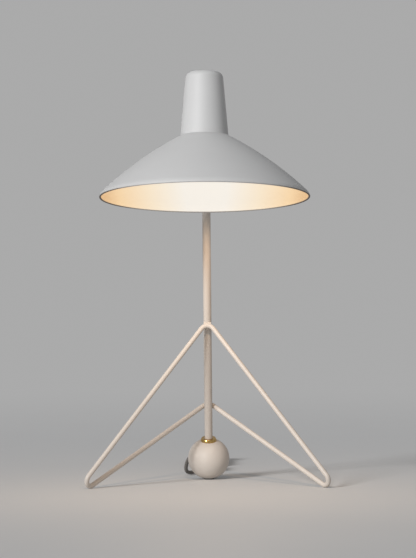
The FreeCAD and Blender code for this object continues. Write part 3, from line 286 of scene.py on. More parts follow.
class Finish:
    """One procedural material. Its shader's even values are given by socket name."""

    def __init__(self, name, **even):
        self.material = bpy.data.materials.new(name)
        self.material.use_nodes = True
        self.tree = self.material.node_tree
        self.shader = self.tree.nodes["Principled BSDF"]
        for socket, value in even.items():
            self.shader.inputs[socket.replace("_", " ")].default_value = value
        self.place = self.node("ShaderNodeTexCoord", output="Object")

    def node(self, kind, settings=None, values=None, output=0):
        """Any node: its settings are set first, then the values or links of its sockets."""
        made = self.tree.nodes.new(kind)
        for setting, value in (settings or {}).items():
            if setting == "stops":
                self.set_stops(made.color_ramp, value)
            else:
                setattr(made, setting, value)
        for socket, value in (values or {}).items():
            if isinstance(value, Wire):
                self.tree.links.new(value.socket, made.inputs[socket])
            else:
                made.inputs[socket].default_value = value
        return Wire(self, made.outputs[output])

    @staticmethod
    def set_stops(ramp, stops):
        """Gives a colour ramp its places and colours."""
        while len(ramp.elements) < len(stops):
            ramp.elements.new(0.5)
        for element, (position, colour) in zip(ramp.elements, stops):
            element.position = position
            element.color = (*colour, 1)

    def feed(self, socket, wire):
        """Links a varying value to one of the shader's sockets."""
        self.tree.links.new(wire.socket, self.shader.inputs[socket])

    def noise(self, scale, detail=2.0, vector=None):
        """Soft noise between 0 and 1, with its scale in spots per metre."""
        values = {"Vector": vector or self.place, "Scale": scale, "Detail": detail}
        return self.node("ShaderNodeTexNoise", None, values)

    def within(self, matrix):
        """Object coordinates as seen in a frame of the lamp."""
        values = {"Vector": self.place, "Location": matrix.to_translation(), "Rotation": matrix.to_euler()}
        return self.node("ShaderNodeMapping", {"vector_type": "TEXTURE"}, values)

    def parts(self, vector):
        """The three numbers of a vector."""
        first = self.node("ShaderNodeSeparateXYZ", None, {0: vector})
        outputs = first.socket.node.outputs
        return first, Wire(self, outputs[1]), Wire(self, outputs[2])

    def mix(self, share, first, second):
        """From the first colour to the second as the share goes from 0 to 1."""
        colours = [c if isinstance(c, Wire) else (*c, 1) for c in (first, second)]
        values = {0: share, 6: colours[0], 7: colours[1]}
        return self.node("ShaderNodeMix", {"data_type": "RGBA"}, values, output=2)

    def ramp(self, share, stops):
        """The colour that the stops give at a share from 0 to 1."""
        return self.node("ShaderNodeValToRGB", {"stops": stops}, {0: share})

    def step(self, value, low, high):
        """A soft step from 0 at the low value to 1 at the high one."""
        values = {"Value": value, "From Min": low, "From Max": high}
        return self.node("ShaderNodeMapRange", {"interpolation_type": "SMOOTHSTEP"}, values)

    def dent(self, height, distance, strength=1.0):
        """A bump whose height, from 0 to 1, stands for that distance in metres."""
        values = {"Height": height, "Distance": distance, "Strength": strength}
        self.feed("Normal", self.node("ShaderNodeBump", None, values))


def tone(colour, amount):
    """A colour a little darker or lighter than the given one."""
    return tuple(channel * amount for channel in colour)


COAT_COLOUR = (0.585, 0.533, 0.482)
SHADE_COLOUR = (0.61, 0.605, 0.60)
INSIDE_COLOUR = (0.34, 0.31, 0.26)
# painted shade: the dark brown that the lip's bead is coloured with, as if in shadow
LIP_SHADE_COLOUR = (0.10, 0.065, 0.045)
LEAD_COLOUR = (0.12, 0.11, 0.10)

# painted light: the emission colours of the inside of the shade, standing for the bulb's light on it, from
# its hot middle out to the ends of its mouth
HOT_WHITE = (0.72, 0.70, 0.66)
CREAM = (0.73, 0.62, 0.47)
PEACH = (0.72, 0.50, 0.27)
AMBER = (0.54, 0.30, 0.11)


def powder_coat():
    """Satin powder coat: fine orange peel, and a faint drift of its colour and sheen."""
    coat = Finish("satin_powder_coat")
    drift = coat.noise(24, 3)
    coat.feed("Base Color", coat.mix(drift, tone(COAT_COLOUR, 0.96), tone(COAT_COLOUR, 1.04)))
    coat.feed("Roughness", 0.48 + 0.08 * coat.noise(60, 3))
    coat.dent(coat.noise(1400, 1), 0.00002, 0.3)
    return coat.material


def shade_enamel():
    """The shade's coat: pale grey outside, off-white inside with a painted glow for the bulb's light, and a
    dark edge of painted shade at the lip.
    """
    enamel = Finish("shade_enamel", Emission_Strength=1.0)
    inside = enamel.node("ShaderNodeAttribute", {"attribute_name": "inside"}, output="Fac")
    across, deep, up = enamel.parts(enamel.within(SHADE_FRAME))
    drift = enamel.noise(18, 3)
    outside = enamel.mix(drift, tone(SHADE_COLOUR, 0.97), tone(SHADE_COLOUR, 1.03))
    sideways = across.size() / RIM_RADIUS
    outward = (across * across + deep * deep) ** 0.5 / RIM_RADIUS
    # painted shade: the lip's bead is coloured dark as if in shadow, strongly towards the ends of the mouth
    # and faintly in its middle, and gets no painted glow
    painted_lip_shade = (1 - enamel.step(up, 0.0006, 0.0014)) * (0.2 + 0.8 * enamel.step(sideways, 0.55, 0.92))
    painted = enamel.mix(inside, outside, INSIDE_COLOUR)
    enamel.feed("Base Color", enamel.mix(0.9 * painted_lip_shade, painted, LIP_SHADE_COLOUR))
    enamel.feed("Roughness", 0.5 + 0.1 * enamel.noise(50, 3))
    # painted light: the inside glows by emission for the bulb's light on it, white in the middle and warmer
    # towards the ends of the mouth
    painted_inner_glow = enamel.ramp(
        0.85 * sideways + 0.15 * outward,
        [(0.0, HOT_WHITE), (0.3, HOT_WHITE), (0.58, CREAM), (0.84, PEACH), (0.98, AMBER)],
    )
    enamel.feed("Emission Color", enamel.mix(inside * (1 - painted_lip_shade), (0, 0, 0), painted_inner_glow))
    enamel.dent(enamel.noise(900, 1), 0.00003, 0.3)
    return enamel.material


def turned_brass(name, lathe):
    """Lacquered brass with the fine rings that its lathe left round its axis, and a little tarnish."""
    waves = 16000
    brass = Finish(name, Metallic=1.0, Coat_Weight=0.25, Coat_Roughness=0.12)
    tarnish = brass.noise(140, 4)
    brass.feed("Base Color", brass.mix(tarnish, (0.40, 0.245, 0.075), (0.66, 0.435, 0.15)))
    brass.feed("Roughness", 0.2 + 0.12 * brass.noise(300, 3))
    across, deep, along = brass.parts(brass.within(lathe))
    rings = ((across * across + deep * deep) ** 0.5 + along) * waves
    brass.dent(rings.sine() * 0.5 + 0.5 * brass.noise(1500, 1), 0.000012, 0.4)
    return brass.material


def zinc_steel():
    """Zinc plating, with its fine spangle and uneven sheen."""
    steel = Finish("zinc_plated_steel", Metallic=1.0)
    spangle = steel.noise(400, 4)
    steel.feed("Base Color", steel.mix(spangle, (0.46, 0.46, 0.45), (0.66, 0.66, 0.65)))
    steel.feed("Roughness", 0.28 + 0.2 * steel.noise(180, 3))
    steel.dent(steel.noise(2200, 2), 0.00002, 0.4)
    return steel.material


def moulding(name, colour, rough):
    """Moulded plastic with a fine spark-eroded grain."""
    plastic = Finish(name)
    drift = plastic.noise(90, 2)
    plastic.feed("Base Color", plastic.mix(drift, tone(colour, 0.88), tone(colour, 1.12)))
    plastic.feed("Roughness", rough + 0.12 * plastic.noise(250, 2))
    plastic.dent(plastic.noise(2600, 2), 0.00004, 0.6)
    return plastic.material


def opal_glass():
    """Opal glass, lit from within and a little dimmer towards its cap."""
    opal = Finish("opal_glass", Roughness=0.25, Emission_Strength=1.4)
    _, _, up = opal.parts(opal.within(SHADE_FRAME))
    cap_side = opal.step(up, 0.055, 0.082)
    cloud = opal.noise(120, 2)
    opal.feed("Base Color", opal.mix(cloud, (0.86, 0.84, 0.79), (0.92, 0.90, 0.86)))
    opal.feed("Emission Color", opal.mix(cap_side, (1.0, 0.84, 0.62), (0.85, 0.55, 0.30)))
    return opal.material


def woven_cover(name, length, colour):
    """A braided textile cover that follows the lead: two sets of yarns that cross."""
    plait_long, plaits_round, yarns = 0.0042, 6, 4
    cover = Finish(name, Sheen_Weight=0.25, Sheen_Roughness=0.5)
    surface = cover.node("ShaderNodeTexCoord", output="UV")
    along, around, _ = cover.parts(surface)
    pitch = along * (length / plait_long * 2 * math.pi)
    girth = around * (2 * math.pi * plaits_round)
    left = (pitch + girth).sine()
    right = (pitch - girth).sine()
    weave = 0.5 + 0.25 * left + 0.25 * right
    yarn = (girth * yarns).sine() * 0.12
    height = weave + yarn
    fuzz = cover.noise(900, 3)
    # painted shade and highlight: the colour is darker in the weave's grooves and lighter on its crowns
    cover.feed("Base Color", cover.mix(weave, tone(colour, 0.45), tone(colour, 1.5)))
    cover.feed("Roughness", 0.7 + 0.2 * fuzz)
    cover.dent(height + 0.2 * fuzz, 0.0003, 0.8)
    return cover.material


def looped_strap():
    """The furred face of a hook-and-loop strap, over a fine weave."""
    waves = 5200
    strap = Finish("looped_strap", Sheen_Weight=0.4, Sheen_Roughness=0.6)
    across, along, _ = strap.parts(strap.place)
    weave = (across * waves).sine() * (along * waves).sine() * 0.25 + 0.5
    fur = strap.noise(1600, 4)
    strap.feed("Base Color", strap.mix(fur, (0.018, 0.018, 0.020), (0.065, 0.064, 0.066)))
    strap.feed("Roughness", 0.75 + 0.2 * fur)
    strap.dent(weave + fur, 0.00025, 0.8)
    return strap.material


FINISHES = {
    "body_paint": powder_coat(),
    "shade_paint": shade_enamel(),
    "brass": turned_brass("knuckle_brass", PIVOT_FRAME),
    "steel": zinc_steel(),
    "dark_plastic": moulding("dark_plastic", (0.022, 0.022, 0.024), 0.42),
    "light_plastic": moulding("light_plastic", (0.72, 0.70, 0.65), 0.38),
    "fibre": moulding("fibre", (0.055, 0.042, 0.034), 0.75),
    "opal_glass": opal_glass(),
    "textile_lead": moulding("lead_sheath", (0.03, 0.03, 0.03), 0.6),
    "tie_fabric": looped_strap(),
}
COLLAR_BRASS = turned_brass("collar_brass", STEM_FRAME)

# ---------------------------------------------------------------- table and light

# the table ends just under the pad, so that the two don't share a plane
TABLE_TOP = -0.0002
TABLE_RADIUS = 14
FADE_START, FADE_END = 0.5, 2.6
TABLE_COLOUR = (0.655, 0.65, 0.645)
BACKDROP_COLOUR = (0.405, 0.405, 0.405)


def studio_table():
    """A wide pale floor that fades into the backdrop's colour far from the lamp."""
    bpy.ops.mesh.primitive_circle_add(
        vertices=96, radius=TABLE_RADIUS, fill_type="NGON", location=(0, 0, TABLE_TOP)
    )
    table = bpy.context.object
    table.name = "studio_table"
    finish = Finish("pale_table", Roughness=0.6)
    drift = finish.noise(6, 4)
    finish.feed("Base Color", finish.mix(drift, tone(TABLE_COLOUR, 0.985), tone(TABLE_COLOUR, 1.015)))
    across, deep, _ = finish.parts(finish.place)
    far = finish.step((across * across + deep * deep) ** 0.5, FADE_START, FADE_END)
    rays = finish.node("ShaderNodeLightPath", output="Is Camera Ray")
    rays_mirrored = finish.node("ShaderNodeLightPath", output="Is Glossy Ray")
    seen = rays + rays_mirrored
    backdrop = finish.node("ShaderNodeEmission", None, {"Color": (*BACKDROP_COLOUR, 1)})
    table_top = Wire(finish, finish.shader.outputs[0])
    blend = finish.node("ShaderNodeMixShader", None, {0: far * seen, 1: table_top, 2: backdrop})
    output = finish.tree.nodes["Material Output"]
    finish.tree.links.new(blend.socket, output.inputs["Surface"])
    table.data.materials.append(finish.material)


def studio_world():
    """Even light from all round, which the camera, metal and glass see as a plain pale backdrop."""
    world = bpy.data.worlds.new("studio_world")
    world.use_nodes = True
    bpy.context.scene.world = world
    nodes, links = world.node_tree.nodes, world.node_tree.links
    light = nodes["Background"]
    light.inputs["Color"].default_value = (0.95, 0.97, 1.0, 1)
    light.inputs["Strength"].default_value = 0.21
    backdrop = nodes.new("ShaderNodeBackground")
    backdrop.inputs["Color"].default_value = (*BACKDROP_COLOUR, 1)
    rays = nodes.new("ShaderNodeLightPath")
    seen = rays.outputs["Is Camera Ray"]
    for kind in ("Is Transmission Ray", "Is Glossy Ray"):
        either = nodes.new("ShaderNodeMath")
        either.operation = "MAXIMUM"
        links.new(seen, either.inputs[0])
        links.new(rays.outputs[kind], either.inputs[1])
        seen = either.outputs[0]
    choice = nodes.new("ShaderNodeMixShader")
    links.new(seen, choice.inputs[0])
    links.new(light.outputs[0], choice.inputs[1])
    links.new(backdrop.outputs[0], choice.inputs[2])
    links.new(choice.outputs[0], nodes["World Output"].inputs["Surface"])


def far_light(name, way, strength, spread, colour=(1, 1, 1)):
    """Soft light from far off, so that it falls evenly over the lamp and the table."""
    data = bpy.data.lights.new(name, "SUN")
    data.energy = strength
    data.angle = math.radians(spread)
    data.color = colour
    light = bpy.data.objects.new(name, data)
    bpy.context.collection.objects.link(light)
    light.rotation_euler = Vector(way).to_track_quat("-Z", "Y").to_euler()


BULB_LIGHT_HIGH = 0.014


def bulb_light():
    """The warm light that the bulb sends down out of the shade, which tilts with the head."""
    data = bpy.data.lights.new("bulb_light", "SPOT")
    data.energy = 1.15
    data.color = (1.0, 0.70, 0.46)
    data.shadow_soft_size = 0.008
    data.spot_size = math.radians(164)
    data.spot_blend = 0.3
    light = bpy.data.objects.new("bulb_light", data)
    bpy.context.collection.objects.link(light)
    light.matrix_world = SHADE_FRAME @ Matrix.Translation((0, 0, BULB_LIGHT_HIGH))
    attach(light, "head")


studio_table()
studio_world()
far_light("window_light", (0.55, 0.74, -0.41), 2.5, 14, (0.99, 0.995, 1.0))
far_light("fill_light", (-0.55, 0.75, -0.35), 0.09, 60)
bulb_light()

# ---------------------------------------------------------------- ways of making a piece


def start_clean():
    """Leaves nothing selected."""
    bpy.ops.object.select_all(action="DESELECT")


def select_only(piece):
    """Makes the piece the only one selected, and the active one."""
    start_clean()
    piece.select_set(True)
    bpy.context.view_layer.objects.active = piece


def arc(start, end, radius, side, steps):
    """Points of radius and height along an arc, after its start. Side 1 bulges to the left of its way."""
    start, end = Vector(start), Vector(end)
    half = (end - start) / 2
    left = Vector((-half.y, half.x)).normalized()
    deep = math.sqrt(max(radius**2 - half.length**2, 0))
    centre = start + half - left * deep * side
    first = math.atan2(start.y - centre.y, start.x - centre.x)
    turn = 2 * math.asin(min(half.length / radius, 1)) * -side
    points = []
    for step in range(1, steps + 1):
        angle = first + turn * step / steps
        points.append((centre.x + radius * math.cos(angle), centre.y + radius * math.sin(angle)))
    return points


def select_ring(piece, radius, height):
    """Selects the ring of vertices at a radius and height, in edit mode."""
    bpy.ops.mesh.select_all(action="DESELECT")
    bpy.ops.object.mode_set(mode="OBJECT")
    for vertex in piece.data.vertices:
        off = abs(vertex.co.xy.length - radius) + abs(vertex.co.z - height)
        vertex.select = off < 1e-6
    bpy.ops.object.mode_set(mode="EDIT")


def turned(name, profile, sides=96, caps=(False, False), ring=False):
    """A round piece: a circle, extruded and scaled from each radius and height to the next."""
    start_clean()
    radius, height = profile[0]
    bpy.ops.mesh.primitive_circle_add(vertices=sides, radius=radius, location=(0, 0, 0))
    piece = bpy.context.object
    piece.name = piece.data.name = name
    bpy.ops.object.mode_set(mode="EDIT")
    bpy.ops.mesh.select_mode(type="VERT")
    bpy.ops.mesh.select_all(action="SELECT")
    bpy.ops.transform.translate(value=(0, 0, height))
    for (old_radius, old_height), (radius, height) in zip(profile, profile[1:]):
        bpy.ops.mesh.extrude_edges_move(TRANSFORM_OT_translate={"value": (0, 0, height - old_height)})
        scale = radius / old_radius
        bpy.ops.transform.resize(value=(scale, scale, 1), center_override=(0, 0, height))
    if ring:
        bpy.ops.mesh.select_all(action="SELECT")
        bpy.ops.mesh.remove_doubles(threshold=1e-6)
    if caps[1]:
        bpy.ops.mesh.edge_face_add()
    if caps[0]:
        select_ring(piece, *profile[0])
        bpy.ops.mesh.edge_face_add()
    bpy.ops.mesh.select_all(action="SELECT")
    bpy.ops.mesh.normals_make_consistent(inside=False)
    bpy.ops.object.mode_set(mode="OBJECT")
    return piece


RUN_LENGTH = 0.01


def draw_out(way):
    """Extrudes the selected ring along a straight way, in lengths of about a centimetre."""
    lengths = max(1, round(way.length / RUN_LENGTH))
    for _ in range(lengths):
        bpy.ops.mesh.extrude_edges_move(TRANSFORM_OT_translate={"value": way / lengths})


def bent_bar(name, radius, corners, bends, closed=False, sides=32, steps=14):
    """A round bar: its section is extruded along each straight run and spun round each corner."""
    count = len(corners)
    turns = {}
    for i in range(count) if closed else range(1, count - 1):
        way_in = (corners[i] - corners[i - 1]).normalized()
        way_out = (corners[(i + 1) % count] - corners[i]).normalized()
        turn = way_in.angle(way_out)
        setback = bends[i] * math.tan(turn / 2)
        axis = way_in.cross(way_out).normalized()
        start = corners[i] - way_in * setback
        centre = start + axis.cross(way_in).normalized() * bends[i]
        turns[i] = (start, corners[i] + way_out * setback, centre, axis, turn)
    first = (turns[count - 1][1] + turns[0][0]) / 2 if closed else corners[0]
    heading = (turns[0][0] if closed else corners[1]) - first
    facing = heading.to_track_quat("Z", "Y").to_euler()
    start_clean()
    bpy.ops.mesh.primitive_circle_add(vertices=sides, radius=radius, location=first, rotation=facing)
    piece = bpy.context.object
    piece.name = piece.data.name = name
    bpy.ops.object.transform_apply(location=True, rotation=True, scale=True)
    bpy.ops.object.mode_set(mode="EDIT")
    bpy.ops.mesh.select_all(action="SELECT")
    here = first
    for i in range(count) if closed else range(1, count - 1):
        start, end, centre, axis, turn = turns[i]
        draw_out(start - here)
        # spin turns against the right-hand rule, so its axis is given backwards
        bpy.ops.mesh.spin(steps=steps, angle=turn, center=centre, axis=-axis)
        here = end
    last = first if closed else corners[-1]
    draw_out(last - here)
    bpy.ops.mesh.select_all(action="SELECT")
    bpy.ops.mesh.remove_doubles(threshold=2e-6)
    bpy.ops.mesh.normals_make_consistent(inside=False)
    bpy.ops.object.mode_set(mode="OBJECT")
    return piece


def modified(piece, kind, **settings):
    """Adds one modifier with its settings and applies it."""
    select_only(piece)
    modifier = piece.modifiers.new(kind.lower(), kind)
    for setting, value in settings.items():
        setattr(modifier, setting, value)
    bpy.ops.object.modifier_apply(modifier=modifier.name)
    return piece


def eased(piece, width):
    """Rounds the piece's sharp edges."""
    return modified(
        piece, "BEVEL", width=width, segments=2, limit_method="ANGLE", angle_limit=math.radians(30),
        miter_outer="MITER_ARC",
    )


def placed(piece, matrix):
    """Puts a piece that was made at the origin in its place."""
    select_only(piece)
    piece.matrix_world = matrix
    bpy.ops.object.transform_apply(location=True, rotation=True, scale=True)
    return piece


def finished(piece, body, slot, nodes, smooth=35, finish=None):
    """Smooths a piece, gives it its finish, and seats it on its body in place of CAD nodes."""
    if piece.type == "MESH":
        select_only(piece)
        bpy.ops.object.shade_smooth_by_angle(angle=math.radians(smooth))
    piece.data.materials.clear()
    piece.data.materials.append(finish or FINISHES[slot])
    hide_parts(*nodes)
    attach(piece, body)


# ---------------------------------------------------------------- the shade


def inside_of_brim(face):
    """Whether a face of the brim, made upright, looks down or inward."""
    outward = face.center.xy.normalized()
    leaning = face.normal.xy.dot(outward)
    return face.center.z > BEAD / 2 and (face.normal.z < -0.2 or leaning < -0.2)


def inside_of_neck(face):
    """Whether a face of the neck, made upright, looks down or inward."""
    return face.normal.xy.dot(face.center.xy.normalized()) < -0.2 or face.normal.z < -0.2


def mark_inside(piece, test):
    """Writes 1 on the faces that the enamel colours as the inside and makes glow with painted light, and 0
    on the rest.
    """
    marks = piece.data.attributes.new("inside", "FLOAT", "FACE")
    for face, mark in zip(piece.data.polygons, marks.data):
        mark.value = 1.0 if test(face) else 0.0


def shade_brim():
    """The spun dish, with its turned-down lip, rolled bead and spigot."""
    slope = math.atan((BRIM_HIGH - LIP_HIGH) / (RIM_RADIUS - LIP_IN - NECK_BASE))
    inward, downward = SHEET * math.sin(slope), SHEET * math.cos(slope)
    spigot = NECK_BASE - SHEET - SPIGOT_CLEAR
    lip_outside = (RIM_RADIUS - LIP_IN, LIP_HIGH)
    lip_inside = (RIM_RADIUS - LIP_IN - inward, LIP_HIGH - downward)
    crown_inside = (NECK_BASE - inward, BRIM_HIGH - downward)
    bead_outside = (RIM_RADIUS, BEAD / 2)
    bead_inside = (RIM_RADIUS - BEAD, BEAD / 2)
    profile = [bead_outside]
    profile += arc(bead_outside, lip_outside, LIP_ROUND, -1, 6)
    profile += arc(lip_outside, (NECK_BASE, BRIM_HIGH), BRIM_CROWN, -1, 16)
    profile += [(spigot, BRIM_HIGH), (spigot, BRIM_HIGH + SPIGOT_HIGH)]
    profile += [(spigot - SHEET, BRIM_HIGH + SPIGOT_HIGH), (spigot - SHEET, BRIM_HIGH - downward)]
    profile += [crown_inside]
    profile += arc(crown_inside, lip_inside, BRIM_CROWN, 1, 16)
    profile += [bead_inside]
    profile += arc(bead_inside, bead_outside, BEAD / 2, -1, 8)
    piece = turned("brim", profile, sides=160, ring=True)
    mark_inside(piece, inside_of_brim)
    finished(placed(piece, SHADE_FRAME), "head", "shade_paint", ["shade_brim"])


def shade_neck():
    """The closed tapering cup on the brim."""
    top = BRIM_HIGH + NECK_HIGH
    flat = NECK_TOP - NECK_ROUND
    outside_low, outside_high = (NECK_BASE, BRIM_HIGH), (NECK_TOP, top - NECK_ROUND)
    profile = [outside_low, outside_high]
    profile += arc(outside_high, (flat, top - NECK_DOME), NECK_ROUND, -1, 10)
    dome = ((flat**2 + NECK_DOME**2) / (2 * NECK_DOME))
    profile += arc((flat, top - NECK_DOME), (0.0004, top), dome, -1, 6)
    piece = turned("neck", profile, sides=128, caps=(False, True))
    modified(piece, "SOLIDIFY", thickness=SHEET, offset=-1)
    mark_inside(piece, inside_of_neck)
    finished(placed(piece, SHADE_FRAME), "head", "shade_paint", ["shade_neck"])


# ---------------------------------------------------------------- the stand


def stem_tube():
    """The leaning tube, bent over at its top towards the neck."""
    piece = bent_bar("stem", STEM_RADIUS, STEM_LINE, [0, STEM_CORNER, 0], sides=48, steps=24)
    modified(piece, "SOLIDIFY", thickness=STEM_WALL, offset=-1)
    finished(piece, "stand", "body_paint", ["stem_tube"])


def wire_loop():
    """The closed wire that makes both front feet."""
    piece = bent_bar("loop", WIRE_RADIUS, LOOP_CORNERS, LOOP_BENDS, closed=True, sides=32, steps=20)
    finished(piece, "stand", "body_paint", ["leg_loop"])


def bored(piece, name, radius, length, matrix):
    """Cuts a round hole that runs along the matrix's own Z axis from its origin, and clears its slivers."""
    start_clean()
    bpy.ops.mesh.primitive_cylinder_add(vertices=48, radius=radius, depth=length)
    drill = bpy.context.object
    drill.name = name
    placed(drill, matrix @ Matrix.Translation((0, 0, length / 2)))
    modified(piece, "BOOLEAN", operation="DIFFERENCE", object=drill, solver="EXACT")
    bpy.data.objects.remove(drill)
    select_only(piece)
    bpy.ops.object.mode_set(mode="EDIT")
    bpy.ops.mesh.select_all(action="SELECT")
    bpy.ops.mesh.remove_doubles(threshold=1.5e-5)
    bpy.ops.mesh.dissolve_degenerate(threshold=1e-6)
    bpy.ops.object.mode_set(mode="OBJECT")
    return piece


def ball_foot():
    """The heavy ball: a flat for its pad, and holes for the stem, the grub screw and the gland."""
    pad_thick, seat_start, bore_long, gland_deep = 0.001, 0.0095, 0.03, 0.0007
    stem_bore, grub_bore, gland_bore, grub_up = STEM_RADIUS + 0.0001, 0.0021, 0.0051, 0.017
    start_clean()
    bpy.ops.mesh.primitive_uv_sphere_add(
        segments=160, ring_count=96, radius=BALL_RADIUS, location=BALL_CENTRE
    )
    piece = bpy.context.object
    piece.name = piece.data.name = "ball"
    bpy.ops.object.transform_apply(location=True, rotation=True, scale=True)
    bpy.ops.object.mode_set(mode="EDIT")
    bpy.ops.mesh.select_all(action="SELECT")
    bpy.ops.mesh.bisect(plane_co=(0, 0, pad_thick), plane_no=(0, 0, 1), use_fill=True, clear_inner=True)
    bpy.ops.object.mode_set(mode="OBJECT")
    stem_place = STEM_FRAME @ Matrix.Translation((0, 0, seat_start))
    grub_place = STEM_FRAME @ Matrix.Translation((0, STEM_RADIUS, grub_up)) @ TO_THE_REAR
    gland_place = EXIT_FRAME @ Matrix.Translation((0, 0, BALL_RADIUS - gland_deep))
    bored(piece, "stem_seat", stem_bore, bore_long, stem_place)
    bored(piece, "grub_seat", grub_bore, bore_long, grub_place)
    bored(piece, "gland_seat", gland_bore, 0.02, gland_place)
    finished(piece, "stand", "body_paint", ["ball_foot"], smooth=30)


def ball_collar():
    """The thin brass collar that lies on the ball around the stem."""
    inner, outer, thick, edge, slope = STEM_RADIUS + 0.00005, 0.010, 0.0022, 0.0015, 0.0012
    seat_in = math.sqrt(BALL_RADIUS**2 - inner**2)
    seat_out = math.sqrt(BALL_RADIUS**2 - outer**2)
    profile = [(inner, seat_in)]
    profile += arc((inner, seat_in), (outer, seat_out), BALL_RADIUS, 1, 6)
    profile += [(outer, seat_out + edge), (outer - slope, seat_in + thick), (inner, seat_in + thick)]
    profile.append(profile[0])
    piece = turned("collar", profile, sides=96, ring=True)
    eased(piece, 0.00022)
    finished(placed(piece, STEM_FRAME), "stand", "brass", ["ball_collar"], finish=COLLAR_BRASS)


# ---------------------------------------------------------------- machined and moulded small pieces


def eased_copy(node, body, slot, width):
    """A copy of a machined piece, its loose triangles joined into whole faces and its edges rounded."""
    piece = bpy.data.objects.new(node + "_piece", frame["nodes"][node].data.copy())
    bpy.context.collection.objects.link(piece)
    select_only(piece)
    bpy.ops.object.mode_set(mode="EDIT")
    bpy.ops.mesh.select_all(action="SELECT")
    bpy.ops.mesh.remove_doubles(threshold=1e-6)
    bpy.ops.mesh.dissolve_limited(angle_limit=math.radians(1))
    bpy.ops.object.mode_set(mode="OBJECT")
    eased(piece, width)
    finished(piece, body, slot, [node])


# each piece's node, body, slot and the width of its rounded edges
EASED = [
    ("pivot_fork", "head", "brass", 0.00018),
    ("saddle_washers", "head", "brass", 0.0002),
    ("fork_nut", "head", "brass", 0.0001),
    ("friction_washers", "head", "fibre", 0.0001),
    ("pivot_screw", "head", "brass", 0.0003),
    ("pivot_knob", "knob", "brass", 0.00012),
    ("stem_eye", "stand", "brass", 0.00012),
    ("grub_screw", "stand", "steel", 0.0002),
    ("ball_pad", "stand", "fibre", 0.0002),
    ("holder_bracket", "head", "steel", 0.0001),
    ("holder_nipple", "head", "steel", 0.0002),
    ("switch_screws", "stand", "steel", 0.0002),
    ("switch_base", "stand", "dark_plastic", 0.0003),
    ("switch_top", "stand", "dark_plastic", 0.00012),
    ("switch_rocker", "rocker", "dark_plastic", 0.00012),
    ("plug_pins", "stand", "brass", 0.0002),
]


def bulb_globe():
    """The opal globe and its throat, blown in one with an even wall."""
    bottom, radius, throat, wall, pole = 0.0231, 0.0225, 0.0064, 0.001, 0.0002
    turn = math.radians(36.9)
    centre = bottom + radius
    shoulder = (radius * math.cos(turn), centre + radius * math.sin(turn))
    profile = [(pole, bottom)]
    profile += arc((pole, bottom), (radius, centre), radius, -1, 20)
    profile += arc((radius, centre), shoulder, radius, -1, 8)
    profile += [(0.0104, 0.0666), (0.0074, 0.0715), (throat, 0.0755), (throat, 0.0785)]
    piece = turned("globe", profile, sides=96, caps=(True, False))
    modified(piece, "SOLIDIFY", thickness=wall, offset=-1)
    finished(placed(piece, SHADE_FRAME), "head", "opal_glass", ["bulb_globe"])


def ribbed_taper(start, ribs, pitch, radius, slope, groove):
    """Radius and height of a soft taper whose ribs stand between shallow grooves."""
    rib_end, groove_start, groove_end, groove_slope = 0.6, 0.68, 0.92, 0.3
    profile = []
    for rib in range(ribs):
        low = start + rib * pitch
        here = radius - slope * rib * pitch
        profile += [(here, low), (here - slope * pitch * rib_end, low + pitch * rib_end)]
        profile.append((here - groove, low + pitch * groove_start))
        profile.append((here - groove - slope * pitch * groove_slope, low + pitch * groove_end))
    return profile


def cord_gland():
    """The soft ribbed gland in the ball, which keeps the lead from kinking where it leaves."""
    inside, face, tip = BALL_RADIUS - 0.008, BALL_RADIUS - 0.0006, BALL_RADIUS + 0.0125
    flange = face + 0.0016
    bore, shank, rim, taper = LEAD_DIAMETER / 2, 0.004, 0.005, 0.0037
    profile = [(bore, inside), (shank, inside), (shank, face), (rim, face), (rim, flange - 0.0005)]
    profile += [(rim - 0.0005, flange), (taper, flange)]
    profile += ribbed_taper(flange + 0.0002, ribs=5, pitch=0.0021, radius=taper, slope=0.05, groove=0.00035)
    profile += [(0.0031, tip - 0.0006), (0.0027, tip), (bore, tip), (bore, inside)]
    piece = turned("gland", profile, sides=64, ring=True)
    finished(placed(piece, EXIT_FRAME), "stand", "dark_plastic", ["cord_gland"])


PLUG_X, PLUG_LOW, PLUG_THICK = HANK_X, 0.01615, 0.0136
PLUG_MIDDLE = PLUG_LOW + PLUG_THICK / 2
RELIEF_START, RELIEF_LONG = 0.245, 0.020


def plug_relief():
    """The ribbed taper that the lead enters the plug through."""
    place = Matrix.Translation((PLUG_X, RELIEF_START, PLUG_MIDDLE)) @ TO_THE_REAR
    bore, root = LEAD_DIAMETER / 2, 0.0045
    profile = [(bore, 0), (0.0027, 0), (0.0029, 0.0004)]
    profile += ribbed_taper(0.0008, ribs=6, pitch=0.0027, radius=0.003, slope=-0.085, groove=0.0004)
    profile += [(root, 0.0172), (root, RELIEF_LONG), (bore, RELIEF_LONG), (bore, 0)]
    piece = turned("relief", profile, sides=64, ring=True)
    finished(placed(piece, place), "stand", "dark_plastic", ["plug_relief"])


def oval_bar(name, sections, sides=72):
    """A closed bar along +Y with an oval section: each row gives its place, width and thickness."""
    start_clean()
    bpy.ops.mesh.primitive_circle_add(vertices=sides, radius=0.5, rotation=(math.pi / 2, 0, 0))
    piece = bpy.context.object
    piece.name = piece.data.name = name
    bpy.ops.object.transform_apply(location=True, rotation=True, scale=True)
    bpy.ops.object.mode_set(mode="EDIT")
    bpy.ops.mesh.select_all(action="SELECT")
    here, wide, thick = 0, 1, 1
    for place, next_wide, next_thick in sections:
        if place > 0:
            bpy.ops.mesh.extrude_edges_move(TRANSFORM_OT_translate={"value": (0, place - here, 0)})
        growth = (next_wide / wide, 1, next_thick / thick)
        bpy.ops.transform.resize(value=growth, center_override=(0, place, 0))
        here, wide, thick = place, next_wide, next_thick
    bpy.ops.mesh.edge_face_add()
    bpy.ops.mesh.select_all(action="SELECT")
    bpy.ops.mesh.fill_holes(sides=0)
    bpy.ops.mesh.select_all(action="SELECT")
    bpy.ops.mesh.normals_make_consistent(inside=False)
    bpy.ops.object.mode_set(mode="OBJECT")
    return piece


